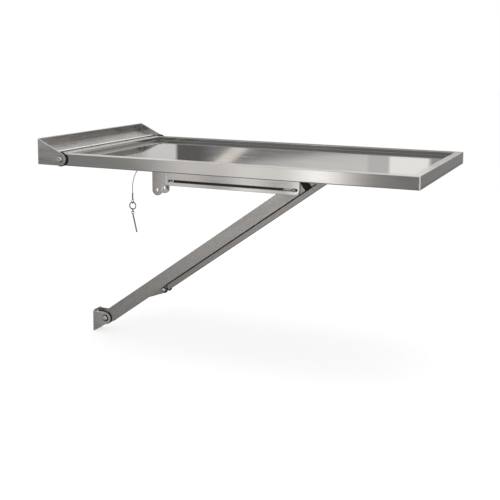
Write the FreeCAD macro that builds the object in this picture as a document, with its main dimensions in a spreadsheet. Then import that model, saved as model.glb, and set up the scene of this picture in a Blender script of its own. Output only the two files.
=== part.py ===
"""Wall-mounted fold-up veterinary exam table, in stainless steel.

A shallow tray hinges between the ears of a wall bracket. A square strut stands in a small lower
wall bracket and its head slides in a slotted rail under the tray. A sprung latch bar lies along the
strut's underside, and its foot stands under the tray while the table is open.

Frame: the wall is the plane X = 0 and +X points away from it. +Z is up, with Z = 0 at the top of the
tray's rim, and Y = 0 is the middle of the table. Lengths are in millimetres.
"""
import FreeCAD, Part
import math
import os
import re

import Sketcher

DIMENSIONS = {
    # Tray
    "tray_front": (1219, "front edge of the tray from the wall"),
    "tray_half": (305, "half the width of the tray"),
    "rim_height": (38, "height of the tray's skirt"),
    "rim_flat": (25, "width of the rim's flat top"),
    "tray_depth": (13, "depth of the tray's recess"),
    "tray_gauge": (1.5, "sheet thickness of the tray"),
    "hem_width": (12, "width of the hem under the skirt"),
    "tray_bend": (2.5, "outside bend radius of the tray sheet"),
    # Pivots and fits
    "pivot_x": (84, "table hinge, out from the wall"),
    "pivot_z": (-18, "table hinge, height"),
    "foot_x": (50, "strut foot pivot, out from the wall"),
    "foot_z": (-614, "strut foot pivot, height"),
    "slide_x": (754, "slide pin with the table open, out from the wall"),
    "slide_z": (-111, "slide pin with the table open, height"),
    "running_fit": (0.05, "radial clearance of a pin in its hole"),
    "slide_fit": (0.1, "radial clearance of the slide pin in its slot"),
    "body_gap": (0.3, "gap between parts that move past each other"),
    # Upper wall bracket
    "bracket_thick": (3, "sheet thickness of both wall brackets"),
    "bracket_bend": (3, "outside bend radius of the wall brackets"),
    "ear_gap": (5, "gap between the tray's skirt and an upper ear"),
    "upper_top": (44, "top of the upper bracket"),
    "ear_nose": (20, "radius of the ears' noses, round their pivots"),
    "wall_screw_spread": (406.4, "upper wall screws apart, one stud spacing of 16 in"),
    "wall_screw_step": (18, "rows of wall screws apart"),
    "wall_screw_rise": (12, "lower row of wall screws above the bottom of the bracket"),
    "wall_screw_radius": (5, "upper wall screw hole"),
    "apron_thick": (2, "sheet thickness of the apron"),
    "apron_high": (17, "apron's top edge on the back plate"),
    "apron_gap": (11, "gap between the apron and the tray"),
    "apron_low": (3, "apron's front edge, height"),
    "apron_lip": (8, "length of the apron's folded lips"),
    "pivot_disc": (23, "radius of the black discs at the table hinge"),
    # Pivot fasteners, M10 and M8 and M6
    "m10_radius": (5, "M10 shank"),
    "m10_head": (8.75, "M10 button head radius"),
    "m10_head_height": (5.5, "M10 button head height"),
    "m10_socket": (6, "M10 button head socket across flats"),
    "m10_nut": (17, "M10 nut across flats"),
    "m10_nut_height": (10, "M10 locking nut height"),
    "m8_radius": (4, "M8 shank"),
    "m8_head": (7, "M8 button head radius"),
    "m8_head_height": (4.4, "M8 button head height"),
    "m8_socket": (5, "M8 button head socket across flats"),
    "m8_nut": (13, "M8 nut across flats"),
    "m8_nut_height": (8, "M8 locking nut height"),
    "m6_radius": (3, "M6 shank"),
    "m6_head": (5.25, "M6 button head radius"),
    "m6_head_height": (3.3, "M6 button head height"),
    "m6_socket": (4, "M6 button head socket across flats"),
    "m6_nut": (10, "M6 nut across flats"),
    "m6_nut_height": (6, "M6 locking nut height"),
    "thread_stub": (1.5, "thread that shows past a nut"),
    # Hinge bosses in the skirt
    "boss_radius": (14, "boss welded inside the skirt"),
    "boss_length": (8, "length of the boss"),
    "boss_gap": (0.5, "gap between the boss and the skirt's rear wall"),
    # Lower wall bracket
    "lower_plate_rise": (5, "lower back plate above the ears"),
    "lower_drop": (51, "bottom of the lower bracket below its pivot"),
    "lower_disc_thick": (2.7, "thickness of the black discs at the strut's foot"),
    "lower_corner": (8, "corner radius of the lower back plate"),
    "lower_screw_inset": (11, "upper screw below the top of the lower back plate"),
    "lower_screw_rise": (10, "lower screw above the bottom of the lower bracket"),
    "lower_screw_radius": (3.5, "lower bracket screw hole"),
    "lower_disc": (22.5, "radius of the black discs at the strut's foot"),
    # Spine and stiffeners under the tray
    "spine_rear": (240, "rear end of the spine"),
    "spine_front": (1150, "front end of the spine"),
    "spine_half": (60, "half the width of the spine"),
    "spine_thick": (2, "sheet thickness of the spine and stiffeners"),
    "stiffener_first": (300, "first cross stiffener from the wall"),
    "stiffener_step": (375, "cross stiffeners apart"),
    "stiffener_half": (20, "half the width of a cross stiffener"),
    "stiffener_low": (-34, "bottom of a cross stiffener"),
    # Slide rail
    "rail_rear": (298, "rear end of the rail"),
    "slot_past_pin": (12, "slot past the slide pin with the table open"),
    "slide_disc_thick": (2.8, "thickness of the black discs in the rail"),
    "rail_thick": (3, "wall thickness of the rail"),
    "rail_below_pin": (16, "bottom of the rail below the slide pin"),
    "rail_corner": (14, "rounded lower corner at the rail's front"),
    "rail_bend": (4, "outside bend radius of the rail"),
    "lip_gap": (0.6, "gap between the strut and the rail's front lips"),
    "slot_inset": (6, "ends of the slot inside the ends of the rail"),
    "slot_half": (4, "half the height of the slot"),
    "rail_bolt_rear": (32, "first rail bolt from the rail's rear end"),
    "rail_bolt_front": (28, "last rail bolt from the rail's front end"),
    # Lock bracket
    "lock_inset": (4, "rear edge of the lock bracket past the spine's rear end"),
    "lock_heel_rise": (5, "underside of the lock bracket above the bottom of the rail"),
    "lobe_drop": (17, "middle of the lobes below the bottom of the rail"),
    "lobe_radius": (19, "radius of the lobes"),
    "lock_slot_half": (2.75, "half the width of the lock slots"),
    "lock_slot_reach": (3.5, "lock slot, from its middle to the centre of an end"),
    "lock_bolt_inset": (12, "first bolt of the lock bracket from its rear edge"),
    "lock_bolt_step": (28, "bolts of the lock bracket apart"),
    # Strut
    "strut_deep": (22, "half the depth of the strut"),
    "strut_half": (19, "half the width of the strut"),
    "strut_wall": (2, "wall thickness of the strut"),
    "strut_overrun": (29, "strut past the slide pin"),
    "bush_radius": (8, "outside radius of the strut's bushes"),
    "block_length": (22, "length of the black end block"),
    "block_plug": (15, "plug of the end block inside the strut"),
    "plug_ease": (0.1, "plug clear of the tube on each side"),
    # Latch
    "latch_along": (263, "latch pivot, along the strut from its foot pivot"),
    "latch_gap": (1, "gap between the strut and the latch bar"),
    "latch_disc_thick": (1.2, "thickness of the black discs at the latch pivot"),
    "latch_wall": (2, "wall thickness of the latch bar"),
    "latch_bush_radius": (5, "outside radius of the latch bush"),
    "clevis_thick": (3, "sheet thickness of the clevis"),
    "clevis_web": (2, "thickness of the clevis web on the strut"),
    "clevis_nose": (11, "radius of the clevis round the latch pivot"),
    "clevis_behind": (67, "clevis behind the latch pivot"),
    "clevis_blunt": (5, "slope of the clevis's blunt tail"),
    "clevis_step": (4, "depth of the clevis's blunt tail"),
    "clevis_ahead": (14, "clevis ahead of the latch pivot"),
    "clevis_web_short": (13, "front end of the clevis web behind the latch pivot"),
    "latch_disc": (12.5, "radius of the black discs at the latch pivot"),
    "foot_gap": (1, "gap between the strut's end block and the latch foot"),
    "foot_peak": (37.7, "highest corner of the foot above the strut's centre line"),
    "catch_gap": (1, "gap between the latch foot and the spine"),
    "foot_thick": (3, "sheet thickness of the latch foot"),
    "foot_bolt_inset": (10, "foot bolt from the rear face of the latch foot"),
    "foot_bolt_above": (-6, "foot bolt from the strut's centre line"),
    "spring_ease": (0.25, "spring clear of the latch bush and of the bar"),
    "spring_wire": (0.5, "radius of the latch spring's wire"),
    "spring_length": (19.2, "length of the latch spring's coil"),
    # Slide shuttle
    "pin_proud": (3, "slide pin past the rail"),
    "clip_radius": (6.5, "radius of the slide pin's retaining washers"),
    "clip_thick": (1.2, "thickness of the retaining washers"),
    "slide_disc": (10, "radius of the black discs in the rail"),
    # Lanyard and lock pin
    "anchor_inset": (8, "lanyard screw from the lock bracket's rear edge"),
    "anchor_drop": (14.8, "lanyard screw below the skirt"),
    "anchor_radius": (2.5, "lanyard screw shank"),
    "anchor_head": (4.5, "lanyard screw head radius"),
    "anchor_head_height": (2.8, "lanyard screw head height"),
    "anchor_socket": (3, "lanyard screw socket across flats"),
    "lug_radius": (6.5, "radius of the lanyard's lug"),
    "lug_thick": (1.5, "thickness of the lug"),
    "barrel_radius": (2.2, "radius of the lug's barrel"),
    "wire_radius": (1.25, "radius of the wire rope"),
    "wire_half": (28.7, "wire rope from the middle, on the near side"),
    "crimp_radius": (2.6, "radius of the crimp sleeve"),
    "crimp_top": (-161, "top of the crimp sleeve"),
    "crimp_bottom": (-182.5, "bottom of the crimp sleeve"),
    "eye_radius": (6.5, "mean radius of the wire eye"),
    "eye_sunk": (0.6, "eye let into the crimp sleeve"),
    "hang_x": (169, "lock pin hangs this far from the wall"),
    "ring_gap": (0.9, "split ring clear of the rope's eye where it hangs"),
    "ring_radius": (12, "mean radius of the split ring"),
    "ring_wire": (1.5, "radius of the split ring's wire"),
    "link_radius": (6, "mean radius of the small link"),
    "link_wire": (1.1, "radius of the small link's wire"),
    "link_turn": (50, "turn of the small link about the vertical, degrees"),
    "pin_eye_radius": (4.2, "mean radius of the lock pin's eye"),
    "pin_eye_wire": (1.2, "radius of the lock pin's eye wire"),
    "pin_radius": (2.5, "radius of the lock pin"),
    "pin_length": (66, "length of the lock pin below its eye"),
    "pin_lean": (13.4, "lean of the lock pin from the vertical, degrees"),
    "pin_tip": (0.8, "chamfer of the lock pin's tip"),
}

# Dimensions that follow from the ones above, each from those before it. The strut's own frame has X
# along the strut from its foot pivot and Z square to it.
FOLLOWING = {
    "tray_rear": ("pivot_x - boss_radius - boss_gap - tray_gauge", "rear end of the tray"),
    "ear_inside": ("tray_half + ear_gap", "inner face of an upper ear from the middle"),
    "ear_outside": ("ear_inside + bracket_thick", "outer face of an upper ear from the middle"),
    "upper_bottom": ("pivot_z - ear_nose", "bottom of the upper bracket"),
    "wall_screw_low": ("upper_bottom + wall_screw_rise", "lower row of wall screws"),
    "wall_screw_high": ("wall_screw_low + wall_screw_step", "upper row of wall screws"),
    "apron_reach": ("tray_rear - apron_gap", "apron's front edge from the wall"),
    "lower_top": ("foot_z + ear_nose", "top edge of the lower ears"),
    "lower_plate_top": ("lower_top + lower_plate_rise", "top of the lower back plate"),
    "lower_bottom": ("foot_z - lower_drop", "bottom of the lower bracket"),
    "lower_screw_high": ("lower_plate_top - lower_screw_inset", "upper screw, height"),
    "lower_screw_low": ("lower_bottom + lower_screw_rise", "lower screw, height"),
    "lower_inside": ("strut_half + body_gap + lower_disc_thick", "inner face of a lower ear"),
    "lower_outside": ("lower_inside + bracket_thick", "outer face of a lower ear"),
    "slot_front": ("slide_x + slot_past_pin", "front end of the slot"),
    "rail_front": ("slot_front + slot_inset", "front end of the rail"),
    "slot_rear": ("rail_rear + slot_inset", "rear end of the slot"),
    "rail_inside": ("strut_half + slide_disc_thick + 2*body_gap", "half the inner width of the rail"),
    "rail_half": ("rail_inside + rail_thick", "half the outer width of the rail"),
    "rail_bottom": ("slide_z - rail_below_pin", "bottom of the rail"),
    "rail_lip": ("strut_half + lip_gap", "inner edge of the rail's end lips from the middle"),
    "rail_bolt_first": ("rail_rear + rail_bolt_rear", "first rail bolt from the wall"),
    "rail_bolt_step": ("(rail_front - rail_bolt_front - rail_bolt_first)/3", "rail bolts apart"),
    "lock_rear": ("spine_rear + lock_inset", "rear edge of the lock bracket"),
    "lock_heel": ("rail_bottom + lock_heel_rise", "underside of the lock bracket"),
    "lobe_x": ("lock_rear + lobe_radius", "middle of the lobes, out from the wall"),
    "lobe_z": ("rail_bottom - lobe_drop", "middle of the lobes, height"),
    "lock_bolt_first": ("lock_rear + lock_bolt_inset", "first bolt of the lock bracket"),
    "strut_angle": ("atan2(slide_z - foot_z; slide_x - foot_x)", "slope of the strut"),
    "strut_length": ("sqrt((slide_x - foot_x)^2 + (slide_z - foot_z)^2)", "foot to slide pin"),
    "tube_end": ("strut_length + strut_overrun", "front end of the strut's tube"),
    "spring_radius": ("latch_bush_radius + spring_ease + spring_wire", "mean radius of the coils"),
    "latch_deep": ("2*(spring_radius + spring_wire + spring_ease + latch_wall)",
                   "depth of the latch bar"),
    "latch_half": ("strut_half - clevis_thick - latch_disc_thick - body_gap",
                   "half the width of the latch bar"),
    "latch_top": ("-strut_deep - latch_gap", "top of the latch bar"),
    "latch_bottom": ("latch_top - latch_deep", "bottom of the latch bar"),
    "latch_below": ("latch_top - latch_deep/2", "latch pivot from the strut's centre line"),
    "clevis_tail": ("latch_along - clevis_behind", "rear end of the clevis along the strut"),
    "clevis_heel": ("latch_along + clevis_ahead", "front end of the clevis along the strut"),
    "clevis_web_end": ("latch_along - clevis_web_short", "front end of the clevis web"),
    "foot_back": ("tube_end + block_length + foot_gap", "rear face of the latch foot"),
    "foot_bolt_along": ("foot_back + foot_bolt_inset", "foot bolt along the strut"),
    "foot_top": ("-rim_height - catch_gap", "top of the latch foot under the spine"),
    "pin_end": ("rail_half + pin_proud", "outer end of a slide pin from the middle"),
    "anchor_x": ("lock_rear + anchor_inset", "lanyard screw, out from the wall"),
    "anchor_z": ("-rim_height - anchor_drop", "lanyard screw, height"),
    "eye_z": ("crimp_bottom - eye_radius - wire_radius + eye_sunk", "middle of the rope's eye"),
    "hang_z": ("eye_z - eye_radius + wire_radius + ring_gap + ring_wire",
               "top of the split ring, middle of its wire"),
    "ring_z": ("hang_z - ring_radius", "middle of the split ring"),
    "link_z": ("ring_z - ring_radius + ring_wire + link_wire + body_gap - link_radius",
               "middle of the small link"),
    "pin_eye_z": ("link_z - link_radius + link_wire + pin_eye_wire + body_gap - pin_eye_radius",
                  "middle of the lock pin's eye"),
}

NAMES = re.compile(r"\b(" + "|".join(sorted([*DIMENSIONS, *FOLLOWING], key=len, reverse=True)) + r")\b")

# Route of the wire rope in the plane Y = -wire_half: from the lug's barrel, over in a bow and down
# to the crimp sleeve. Points are (X, Z).
WIRE_ROUTE = [
    (233.0, -58.95),
    (216.0, -64.45),
    (199.5, -72.5),
    (187.7, -83.0),
    (177.3, -100.0),
    (171.2, -120.5),
    (169.0, -141.0),
    (169.0, -161.0),
]
ARC_SHARE = 0.45

doc = FreeCAD.newDocument("WallExamTable")
sheet = doc.addObject("Spreadsheet::Sheet", "dims")
for row, (alias, (value, note)) in enumerate([*DIMENSIONS.items(), *FOLLOWING.items()], start=1):
    sheet.set(f"A{row}", note)
    sheet.set(f"B{row}", f"={value}")
    sheet.setAlias(f"B{row}", alias)
doc.recompute()

exports = []


# ---------------------------------------------------------------- expressions and placements

def bound(text):
    """Turn plain dimension names into references to the sheet."""
    return NAMES.sub(r"dims.\1", text)


def number(text):
    """Work out an expression of dimension names as a plain number."""
    result = sheet.evalExpression(bound(text))
    return float(getattr(result, "Value", result))


def drive(item, prop, text):
    """Bind one property to an expression of dimension names."""
    item.setExpression(prop, bound(text))


def place(item, x="0", y="0", z="0"):
    """Bind an object's position to the sheet."""
    drive(item, "Placement.Base.x", x)
    drive(item, "Placement.Base.y", y)
    drive(item, "Placement.Base.z", z)
    return item


def turn(item, axis, degrees):
    """Turn an object about an axis through its own origin."""
    item.Placement.Rotation = FreeCAD.Rotation(FreeCAD.Vector(*axis), degrees)
    return item


def in_strut_frame(item):
    """Carry an object drawn along X to the strut's foot pivot and slope."""
    turn(item, (0, -1, 0), number("strut_angle"))
    drive(item, "Placement.Rotation.Angle", "strut_angle")
    return place(item, "foot_x", "0", "foot_z")


def keep(item, label):
    """Name a finished piece; its label names its file."""
    item.Label = label
    exports.append(item)
    return item


# ---------------------------------------------------------------- sketches

def plane_of(body, role):
    """Find one of a body's own origin planes or axes."""
    return next(part for part in body.Origin.OriginFeatures if part.Role == role)


def new_body(name):
    """Start a PartDesign body."""
    return doc.addObject("PartDesign::Body", name)


def new_sketch(body, role, offset="0"):
    """Start a sketch on a body's origin plane, moved along the plane's normal by offset."""
    sketch = body.newObject("Sketcher::SketchObject", f"{body.Name}_outline")
    sketch.AttachmentSupport = [(plane_of(body, role), "")]
    sketch.MapMode = "FlatFace"
    drive(sketch, "AttachmentOffset.Base.z", offset)
    return sketch


def pin_point(sketch, geometry, position, x, y):
    """Fix a sketch point at expressions x and y from the sketch's origin."""
    for kind, text, axis in (("DistanceX", x, -2), ("DistanceY", y, -1)):
        value = number(text)
        if abs(value) < 1e-9:
            sketch.addConstraint(Sketcher.Constraint("PointOnObject", geometry, position, axis))
            continue
        if value > 0:
            ends = (-1, 1, geometry, position)
            expression = text
        else:
            ends = (geometry, position, -1, 1)
            expression = f"-({text})"
        index = sketch.addConstraint(Sketcher.Constraint(kind, *ends, abs(value)))
        drive(sketch, f"Constraints[{index}]", expression)


def size_round(sketch, geometry, text):
    """Bind the radius of an arc or circle."""
    index = sketch.addConstraint(Sketcher.Constraint("Radius", geometry, number(text)))
    drive(sketch, f"Constraints[{index}]", text)


def add_circle(sketch, x, y, radius):
    """Add a circle."""
    centre = FreeCAD.Vector(number(x), number(y), 0)
    circle = sketch.addGeometry(Part.Circle(centre, FreeCAD.Vector(0, 0, 1), number(radius)))
    size_round(sketch, circle, radius)
    pin_point(sketch, circle, 3, x, y)


def nearer_end(sketch, arc, point):
    """Tell which end of an arc lies at a point: 1 for its start, 2 for its end."""
    start = sketch.Geometry[arc].StartPoint
    return 1 if start.distanceToPoint(point) < 1e-4 else 2


def round_corner(sketch, corner, point, before, after, incoming, outgoing):
    """Round one corner of an outline between the lines incoming and outgoing."""
    radius = number(corner[2])
    back = (before - point).normalize()
    ahead = (after - point).normalize()
    half = back.getAngle(ahead) / 2
    inward = (back + ahead).normalize()
    centre = point + inward * (radius / math.sin(half))
    reach = radius / math.tan(half)
    ends = (point + back * reach, point + ahead * reach)
    arc = sketch.addGeometry(Part.Arc(ends[0], centre - inward * radius, ends[1]))
    mark = sketch.addGeometry(Part.Point(point), True)
    first = nearer_end(sketch, arc, ends[0])
    sketch.addConstraint(Sketcher.Constraint("Tangent", incoming, 2, arc, first))
    sketch.addConstraint(Sketcher.Constraint("Tangent", arc, 3 - first, outgoing, 1))
    sketch.addConstraint(Sketcher.Constraint("PointOnObject", mark, 1, incoming))
    sketch.addConstraint(Sketcher.Constraint("PointOnObject", mark, 1, outgoing))
    size_round(sketch, arc, corner[2])
    pin_point(sketch, mark, 1, corner[0], corner[1])


def corner_reach(corner, point, other, beyond):
    """Distance that a corner's rounding takes off the line from point towards other."""
    if len(corner) < 3:
        return 0.0
    half = (other - point).getAngle(beyond - point) / 2
    return number(corner[2]) / math.tan(half)


def add_outline(sketch, corners):
    """Add a closed outline. A corner is (x, y) or, where it is rounded, (x, y, radius)."""
    points = [FreeCAD.Vector(number(corner[0]), number(corner[1]), 0) for corner in corners]
    count = len(corners)
    lines = []
    for index, point in enumerate(points):
        nxt = (index + 1) % count
        towards = points[nxt] - point
        unit = FreeCAD.Vector(towards).normalize()
        start = point + unit * corner_reach(corners[index], point, points[nxt], points[index - 1])
        cut = corner_reach(corners[nxt], points[nxt], point, points[(nxt + 1) % count])
        lines.append(sketch.addGeometry(Part.LineSegment(start, points[nxt] - unit * cut)))
    for index, corner in enumerate(corners):
        incoming = lines[index - 1]
        outgoing = lines[index]
        if len(corner) == 3:
            after = points[(index + 1) % count]
            round_corner(sketch, corner, points[index], points[index - 1], after, incoming, outgoing)
            continue
        sketch.addConstraint(Sketcher.Constraint("Coincident", incoming, 2, outgoing, 1))
        pin_point(sketch, outgoing, 1, corner[0], corner[1])


def tangent_point(corner, centre, radius, side):
    """Point where the line from a corner touches a circle, on the side given by the sign."""
    towards = centre - corner
    angle = side * math.asin(radius / towards.Length)
    length = math.sqrt(towards.Length ** 2 - radius ** 2)
    direction = FreeCAD.Rotation(FreeCAD.Vector(0, 0, 1), math.degrees(angle)).multVec(towards)
    return corner + direction.normalize() * length


def add_nosed_outline(sketch, corners, x, y, radius):
    """Add a closed anticlockwise outline through corners and on round a circle."""
    points = [FreeCAD.Vector(number(corner[0]), number(corner[1]), 0) for corner in corners]
    centre = FreeCAD.Vector(number(x), number(y), 0)
    size = number(radius)
    onto = tangent_point(points[-1], centre, size, -1)
    off = tangent_point(points[0], centre, size, 1)
    path = [*points, onto]
    lines = [sketch.addGeometry(Part.LineSegment(*pair)) for pair in zip(path, path[1:])]
    closing = sketch.addGeometry(Part.LineSegment(off, points[0]))
    start = math.atan2(onto.y - centre.y, onto.x - centre.x)
    end = math.atan2(off.y - centre.y, off.x - centre.x)
    circle = Part.Circle(centre, FreeCAD.Vector(0, 0, 1), size)
    arc = sketch.addGeometry(Part.ArcOfCircle(circle, start, end if end > start else end + math.tau))
    for first, second in zip([closing, *lines[:-1]], lines):
        sketch.addConstraint(Sketcher.Constraint("Coincident", first, 2, second, 1))
    sketch.addConstraint(Sketcher.Constraint("Tangent", lines[-1], 2, arc, 1))
    sketch.addConstraint(Sketcher.Constraint("Tangent", arc, 2, closing, 1))
    size_round(sketch, arc, radius)
    pin_point(sketch, arc, 3, x, y)
    for line, corner in zip(lines, corners):
        pin_point(sketch, line, 1, corner[0], corner[1])


def add_stadium(sketch, start, end, half):
    """Add a round-ended slot between the centres of its two ends."""
    first = FreeCAD.Vector(number(start[0]), number(start[1]), 0)
    second = FreeCAD.Vector(number(end[0]), number(end[1]), 0)
    radius = number(half)
    along = (second - first).normalize()
    side = FreeCAD.Vector(-along.y, along.x, 0) * radius
    right = sketch.addGeometry(Part.LineSegment(first - side, second - side))
    left = sketch.addGeometry(Part.LineSegment(second + side, first + side))
    cap = sketch.addGeometry(Part.Arc(second - side, second + along * radius, second + side))
    tail = sketch.addGeometry(Part.Arc(first + side, first - along * radius, first - side))
    for line, arc, other in ((right, cap, left), (left, tail, right)):
        near = nearer_end(sketch, arc, sketch.Geometry[line].EndPoint)
        sketch.addConstraint(Sketcher.Constraint("Tangent", line, 2, arc, near))
        sketch.addConstraint(Sketcher.Constraint("Tangent", arc, 3 - near, other, 1))
    size_round(sketch, cap, half)
    pin_point(sketch, cap, 3, *end)
    pin_point(sketch, tail, 3, *start)


def rectangle(left, bottom, right, top):
    """Corners of a rectangle, anticlockwise."""
    return [(left, bottom), (right, bottom), (right, top), (left, top)]


# ---------------------------------------------------------------- features

def pad(body, sketch, length, both_ways=False, reverse=False):
    """Pad a sketch, symmetrically where both_ways."""
    feature = body.newObject("PartDesign::Pad", f"{body.Name}_pad")
    feature.Profile = sketch
    feature.SideType = "Symmetric" if both_ways else "One side"
    feature.Reversed = reverse
    drive(feature, "Length", length)
    return feature


def pocket(body, sketch, length, both_ways=False, reverse=False):
    """Cut a sketch out of the body, and make sure that it takes material away."""
    doc.recompute()
    before = body.Shape.Volume
    feature = body.newObject("PartDesign::Pocket", f"{body.Name}_pocket")
    feature.Profile = sketch
    feature.SideType = "Symmetric" if both_ways else "One side"
    feature.Reversed = reverse
    drive(feature, "Length", length)
    doc.recompute()
    if body.Shape.Volume > before - 1e-3:
        raise ValueError(f"{feature.Name} cuts nothing")
    return feature


def spin(body, sketch):
    """Revolve a sketch about its own vertical axis."""
    feature = body.newObject("PartDesign::Revolution", f"{body.Name}_turned")
    feature.Profile = sketch
    feature.ReferenceAxis = (sketch, ["V_Axis"])
    feature.Angle = 360
    return feature


def round_edges(body, radius, wanted):
    """Fillet the edges of a body whose bounding boxes pass the test."""
    doc.recompute()
    base = body.Tip
    edges = [f"Edge{index}" for index, edge in enumerate(base.Shape.Edges, start=1)
             if wanted(edge.BoundBox)]
    if not edges:
        raise ValueError(f"{body.Name} has no such edge")
    feature = body.newObject("PartDesign::Fillet", f"{body.Name}_bend")
    feature.Base = (base, edges)
    drive(feature, "Radius", radius)
    return feature


def level(box, z):
    """Whether an edge lies in the plane at height z."""
    return abs(box.ZMin - z) < 1e-3 and abs(box.ZMax - z) < 1e-3


def upright(box, shortest):
    """Whether an edge is vertical and at least as long as shortest."""
    return box.XLength < 1e-3 and box.YLength < 1e-3 and box.ZLength > shortest


# ---------------------------------------------------------------- round hardware

def cylinder(name, radius, length):
    """Cylinder along Z from its own origin."""
    item = doc.addObject("Part::Cylinder", name)
    drive(item, "Radius", radius)
    drive(item, "Height", length)
    return item


def torus(name, radius, wire):
    """Ring round its own Z axis."""
    item = doc.addObject("Part::Torus", name)
    drive(item, "Radius1", radius)
    drive(item, "Radius2", wire)
    return item


def cut(name, base, tool):
    """Take one solid out of another."""
    item = doc.addObject("Part::Cut", name)
    item.Base = base
    item.Tool = tool
    return item


def fuse(name, parts):
    """Join solids into one."""
    item = doc.addObject("Part::MultiFuse", name)
    item.Shapes = parts
    return item


def group(name, parts):
    """Hold separate solids in one piece."""
    item = doc.addObject("Part::Compound", name)
    item.Links = parts
    return item


def mirrored(name, source):
    """The same piece on the other side of the table's middle plane."""
    item = doc.addObject("Part::Mirroring", name)
    item.Source = source
    item.Normal = (0, 1, 0)
    return item


def both_sides(name, source):
    """A piece and its mirror image, as two solids."""
    return group(name, [source, mirrored(f"{name}_far", source)])


def disc(name, outer, inner, thickness):
    """Flat ring along Z from its own origin."""
    blank = cylinder(f"{name}_blank", outer, thickness)
    bore = cylinder(f"{name}_bore", inner, f"{thickness} + 2")
    place(bore, "0", "0", "-1")
    return cut(name, blank, bore)


def hexagon(flats):
    """Corners of a hexagon, given across its flats."""
    return [(f"{flats}/sqrt(3)*cos({60 * index})", f"{flats}/sqrt(3)*sin({60 * index})")
            for index in range(6)]


def button_bolt(name, thread, length):
    """Button-head screw: shank down Z from the origin, head above it, hexagon socket."""
    body = new_body(name)
    profile = new_sketch(body, "XZ_Plane")
    add_outline(profile, [
        ("0", f"-({length})"),
        (f"{thread}_radius", f"-({length})"),
        (f"{thread}_radius", "0"),
        (f"{thread}_head", "0"),
        (f"{thread}_head", f"{thread}_head_height", f"{thread}_head_height*0.75"),
        ("0", f"{thread}_head_height"),
    ])
    spin(body, profile)
    socket = new_sketch(body, "XY_Plane", f"{thread}_head_height")
    add_outline(socket, hexagon(f"{thread}_socket"))
    pocket(body, socket, f"{thread}_head_height*0.6")
    return body


def locking_nut(name, thread):
    """Hexagon nut with a round collar: up Z from the origin, bored for its thread."""
    body = new_body(name)
    base = new_sketch(body, "XY_Plane")
    add_outline(base, hexagon(f"{thread}_nut"))
    pad(body, base, f"{thread}_nut_height*0.7")
    collar = new_sketch(body, "XY_Plane")
    add_circle(collar, "0", "0", f"{thread}_nut*0.45")
    pad(body, collar, f"{thread}_nut_height")
    bore = new_sketch(body, "XY_Plane", f"{thread}_nut_height")
    add_circle(bore, "0", "0", f"{thread}_radius")
    pocket(body, bore, f"{thread}_nut_height + 1")
    return body


TOWARDS_NEAR = ((1, 0, 0), 90)
TOWARDS_FAR = ((1, 0, 0), -90)
DOWNWARDS = ((1, 0, 0), 180)


# ---------------------------------------------------------------- wall brackets

def upper_wall_bracket():
    """Back plate with two ears, bent from one sheet, as wide as the tray."""
    body = new_body("upper_wall_bracket")
    profile = new_sketch(body, "XZ_Plane")
    add_nosed_outline(profile, [("0", "upper_top"), ("0", "upper_bottom")],
                      "pivot_x", "pivot_z", "ear_nose")
    pad(body, profile, "2*ear_outside", both_ways=True)
    inside = new_sketch(body, "XZ_Plane")
    add_outline(inside, rectangle("bracket_thick", "upper_bottom - 1",
                                  "pivot_x + ear_nose + 1", "upper_top + 1"))
    pocket(body, inside, "2*ear_inside", both_ways=True)
    pivots = new_sketch(body, "XZ_Plane")
    add_circle(pivots, "pivot_x", "pivot_z", "m10_radius + running_fit")
    pocket(body, pivots, "2*ear_outside + 2", both_ways=True)
    screws = new_sketch(body, "YZ_Plane")
    for side in ("-", ""):
        for height in ("wall_screw_high", "wall_screw_low"):
            add_circle(screws, f"{side}wall_screw_spread/2", height, "wall_screw_radius")
    pocket(body, screws, "bracket_thick", reverse=True)
    outside = number("ear_outside")
    round_edges(body, "bracket_bend", lambda box: upright(box, 50) and box.XMax < 1e-3
                and abs(abs(box.YMin) - outside) < 1e-3)
    return keep(body, "upper_wall_bracket")


def rear_apron():
    """Sloping plate between the ears that bridges the gap from the wall plate to the tray."""
    body = new_body("rear_apron")
    profile = new_sketch(body, "XZ_Plane")
    add_outline(profile, [
        ("bracket_thick", "apron_high"),
        ("bracket_thick", "apron_high - apron_lip - apron_thick"),
        ("bracket_thick + apron_thick", "apron_high - apron_lip - apron_thick"),
        ("bracket_thick + apron_thick", "apron_high - apron_thick*1.3"),
        ("apron_reach - apron_thick", "apron_low - apron_thick*0.8"),
        ("apron_reach - apron_thick", "apron_low - apron_lip"),
        ("apron_reach", "apron_low - apron_lip"),
        ("apron_reach", "apron_low"),
    ])
    pad(body, profile, "2*ear_inside", both_ways=True)
    return keep(body, "rear_apron")


def table_hinge_hardware():
    """Bolt, locking nut and black disc on each side of the tray."""
    bolt = button_bolt("table_pivot_bolt", "m10",
                       "bracket_thick + ear_gap + tray_gauge + boss_length + m10_nut_height"
                       " + body_gap + thread_stub")
    turn(bolt, *TOWARDS_NEAR)
    place(bolt, "pivot_x", "-ear_outside", "pivot_z")
    keep(both_sides("table_pivot_bolt_pair", bolt), "table_pivot_bolts")
    nut = locking_nut("table_pivot_nut", "m10")
    turn(nut, *TOWARDS_FAR)
    place(nut, "pivot_x", "-tray_half + tray_gauge + boss_length + body_gap", "pivot_z")
    keep(both_sides("table_pivot_nut_pair", nut), "table_pivot_nuts")
    spacer = disc("table_pivot_spacer", "pivot_disc", "m10_radius + running_fit",
                  "ear_gap - body_gap")
    turn(spacer, *TOWARDS_FAR)
    place(spacer, "pivot_x", "-ear_inside", "pivot_z")
    keep(both_sides("table_pivot_spacer_pair", spacer), "table_pivot_spacers")


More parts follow.
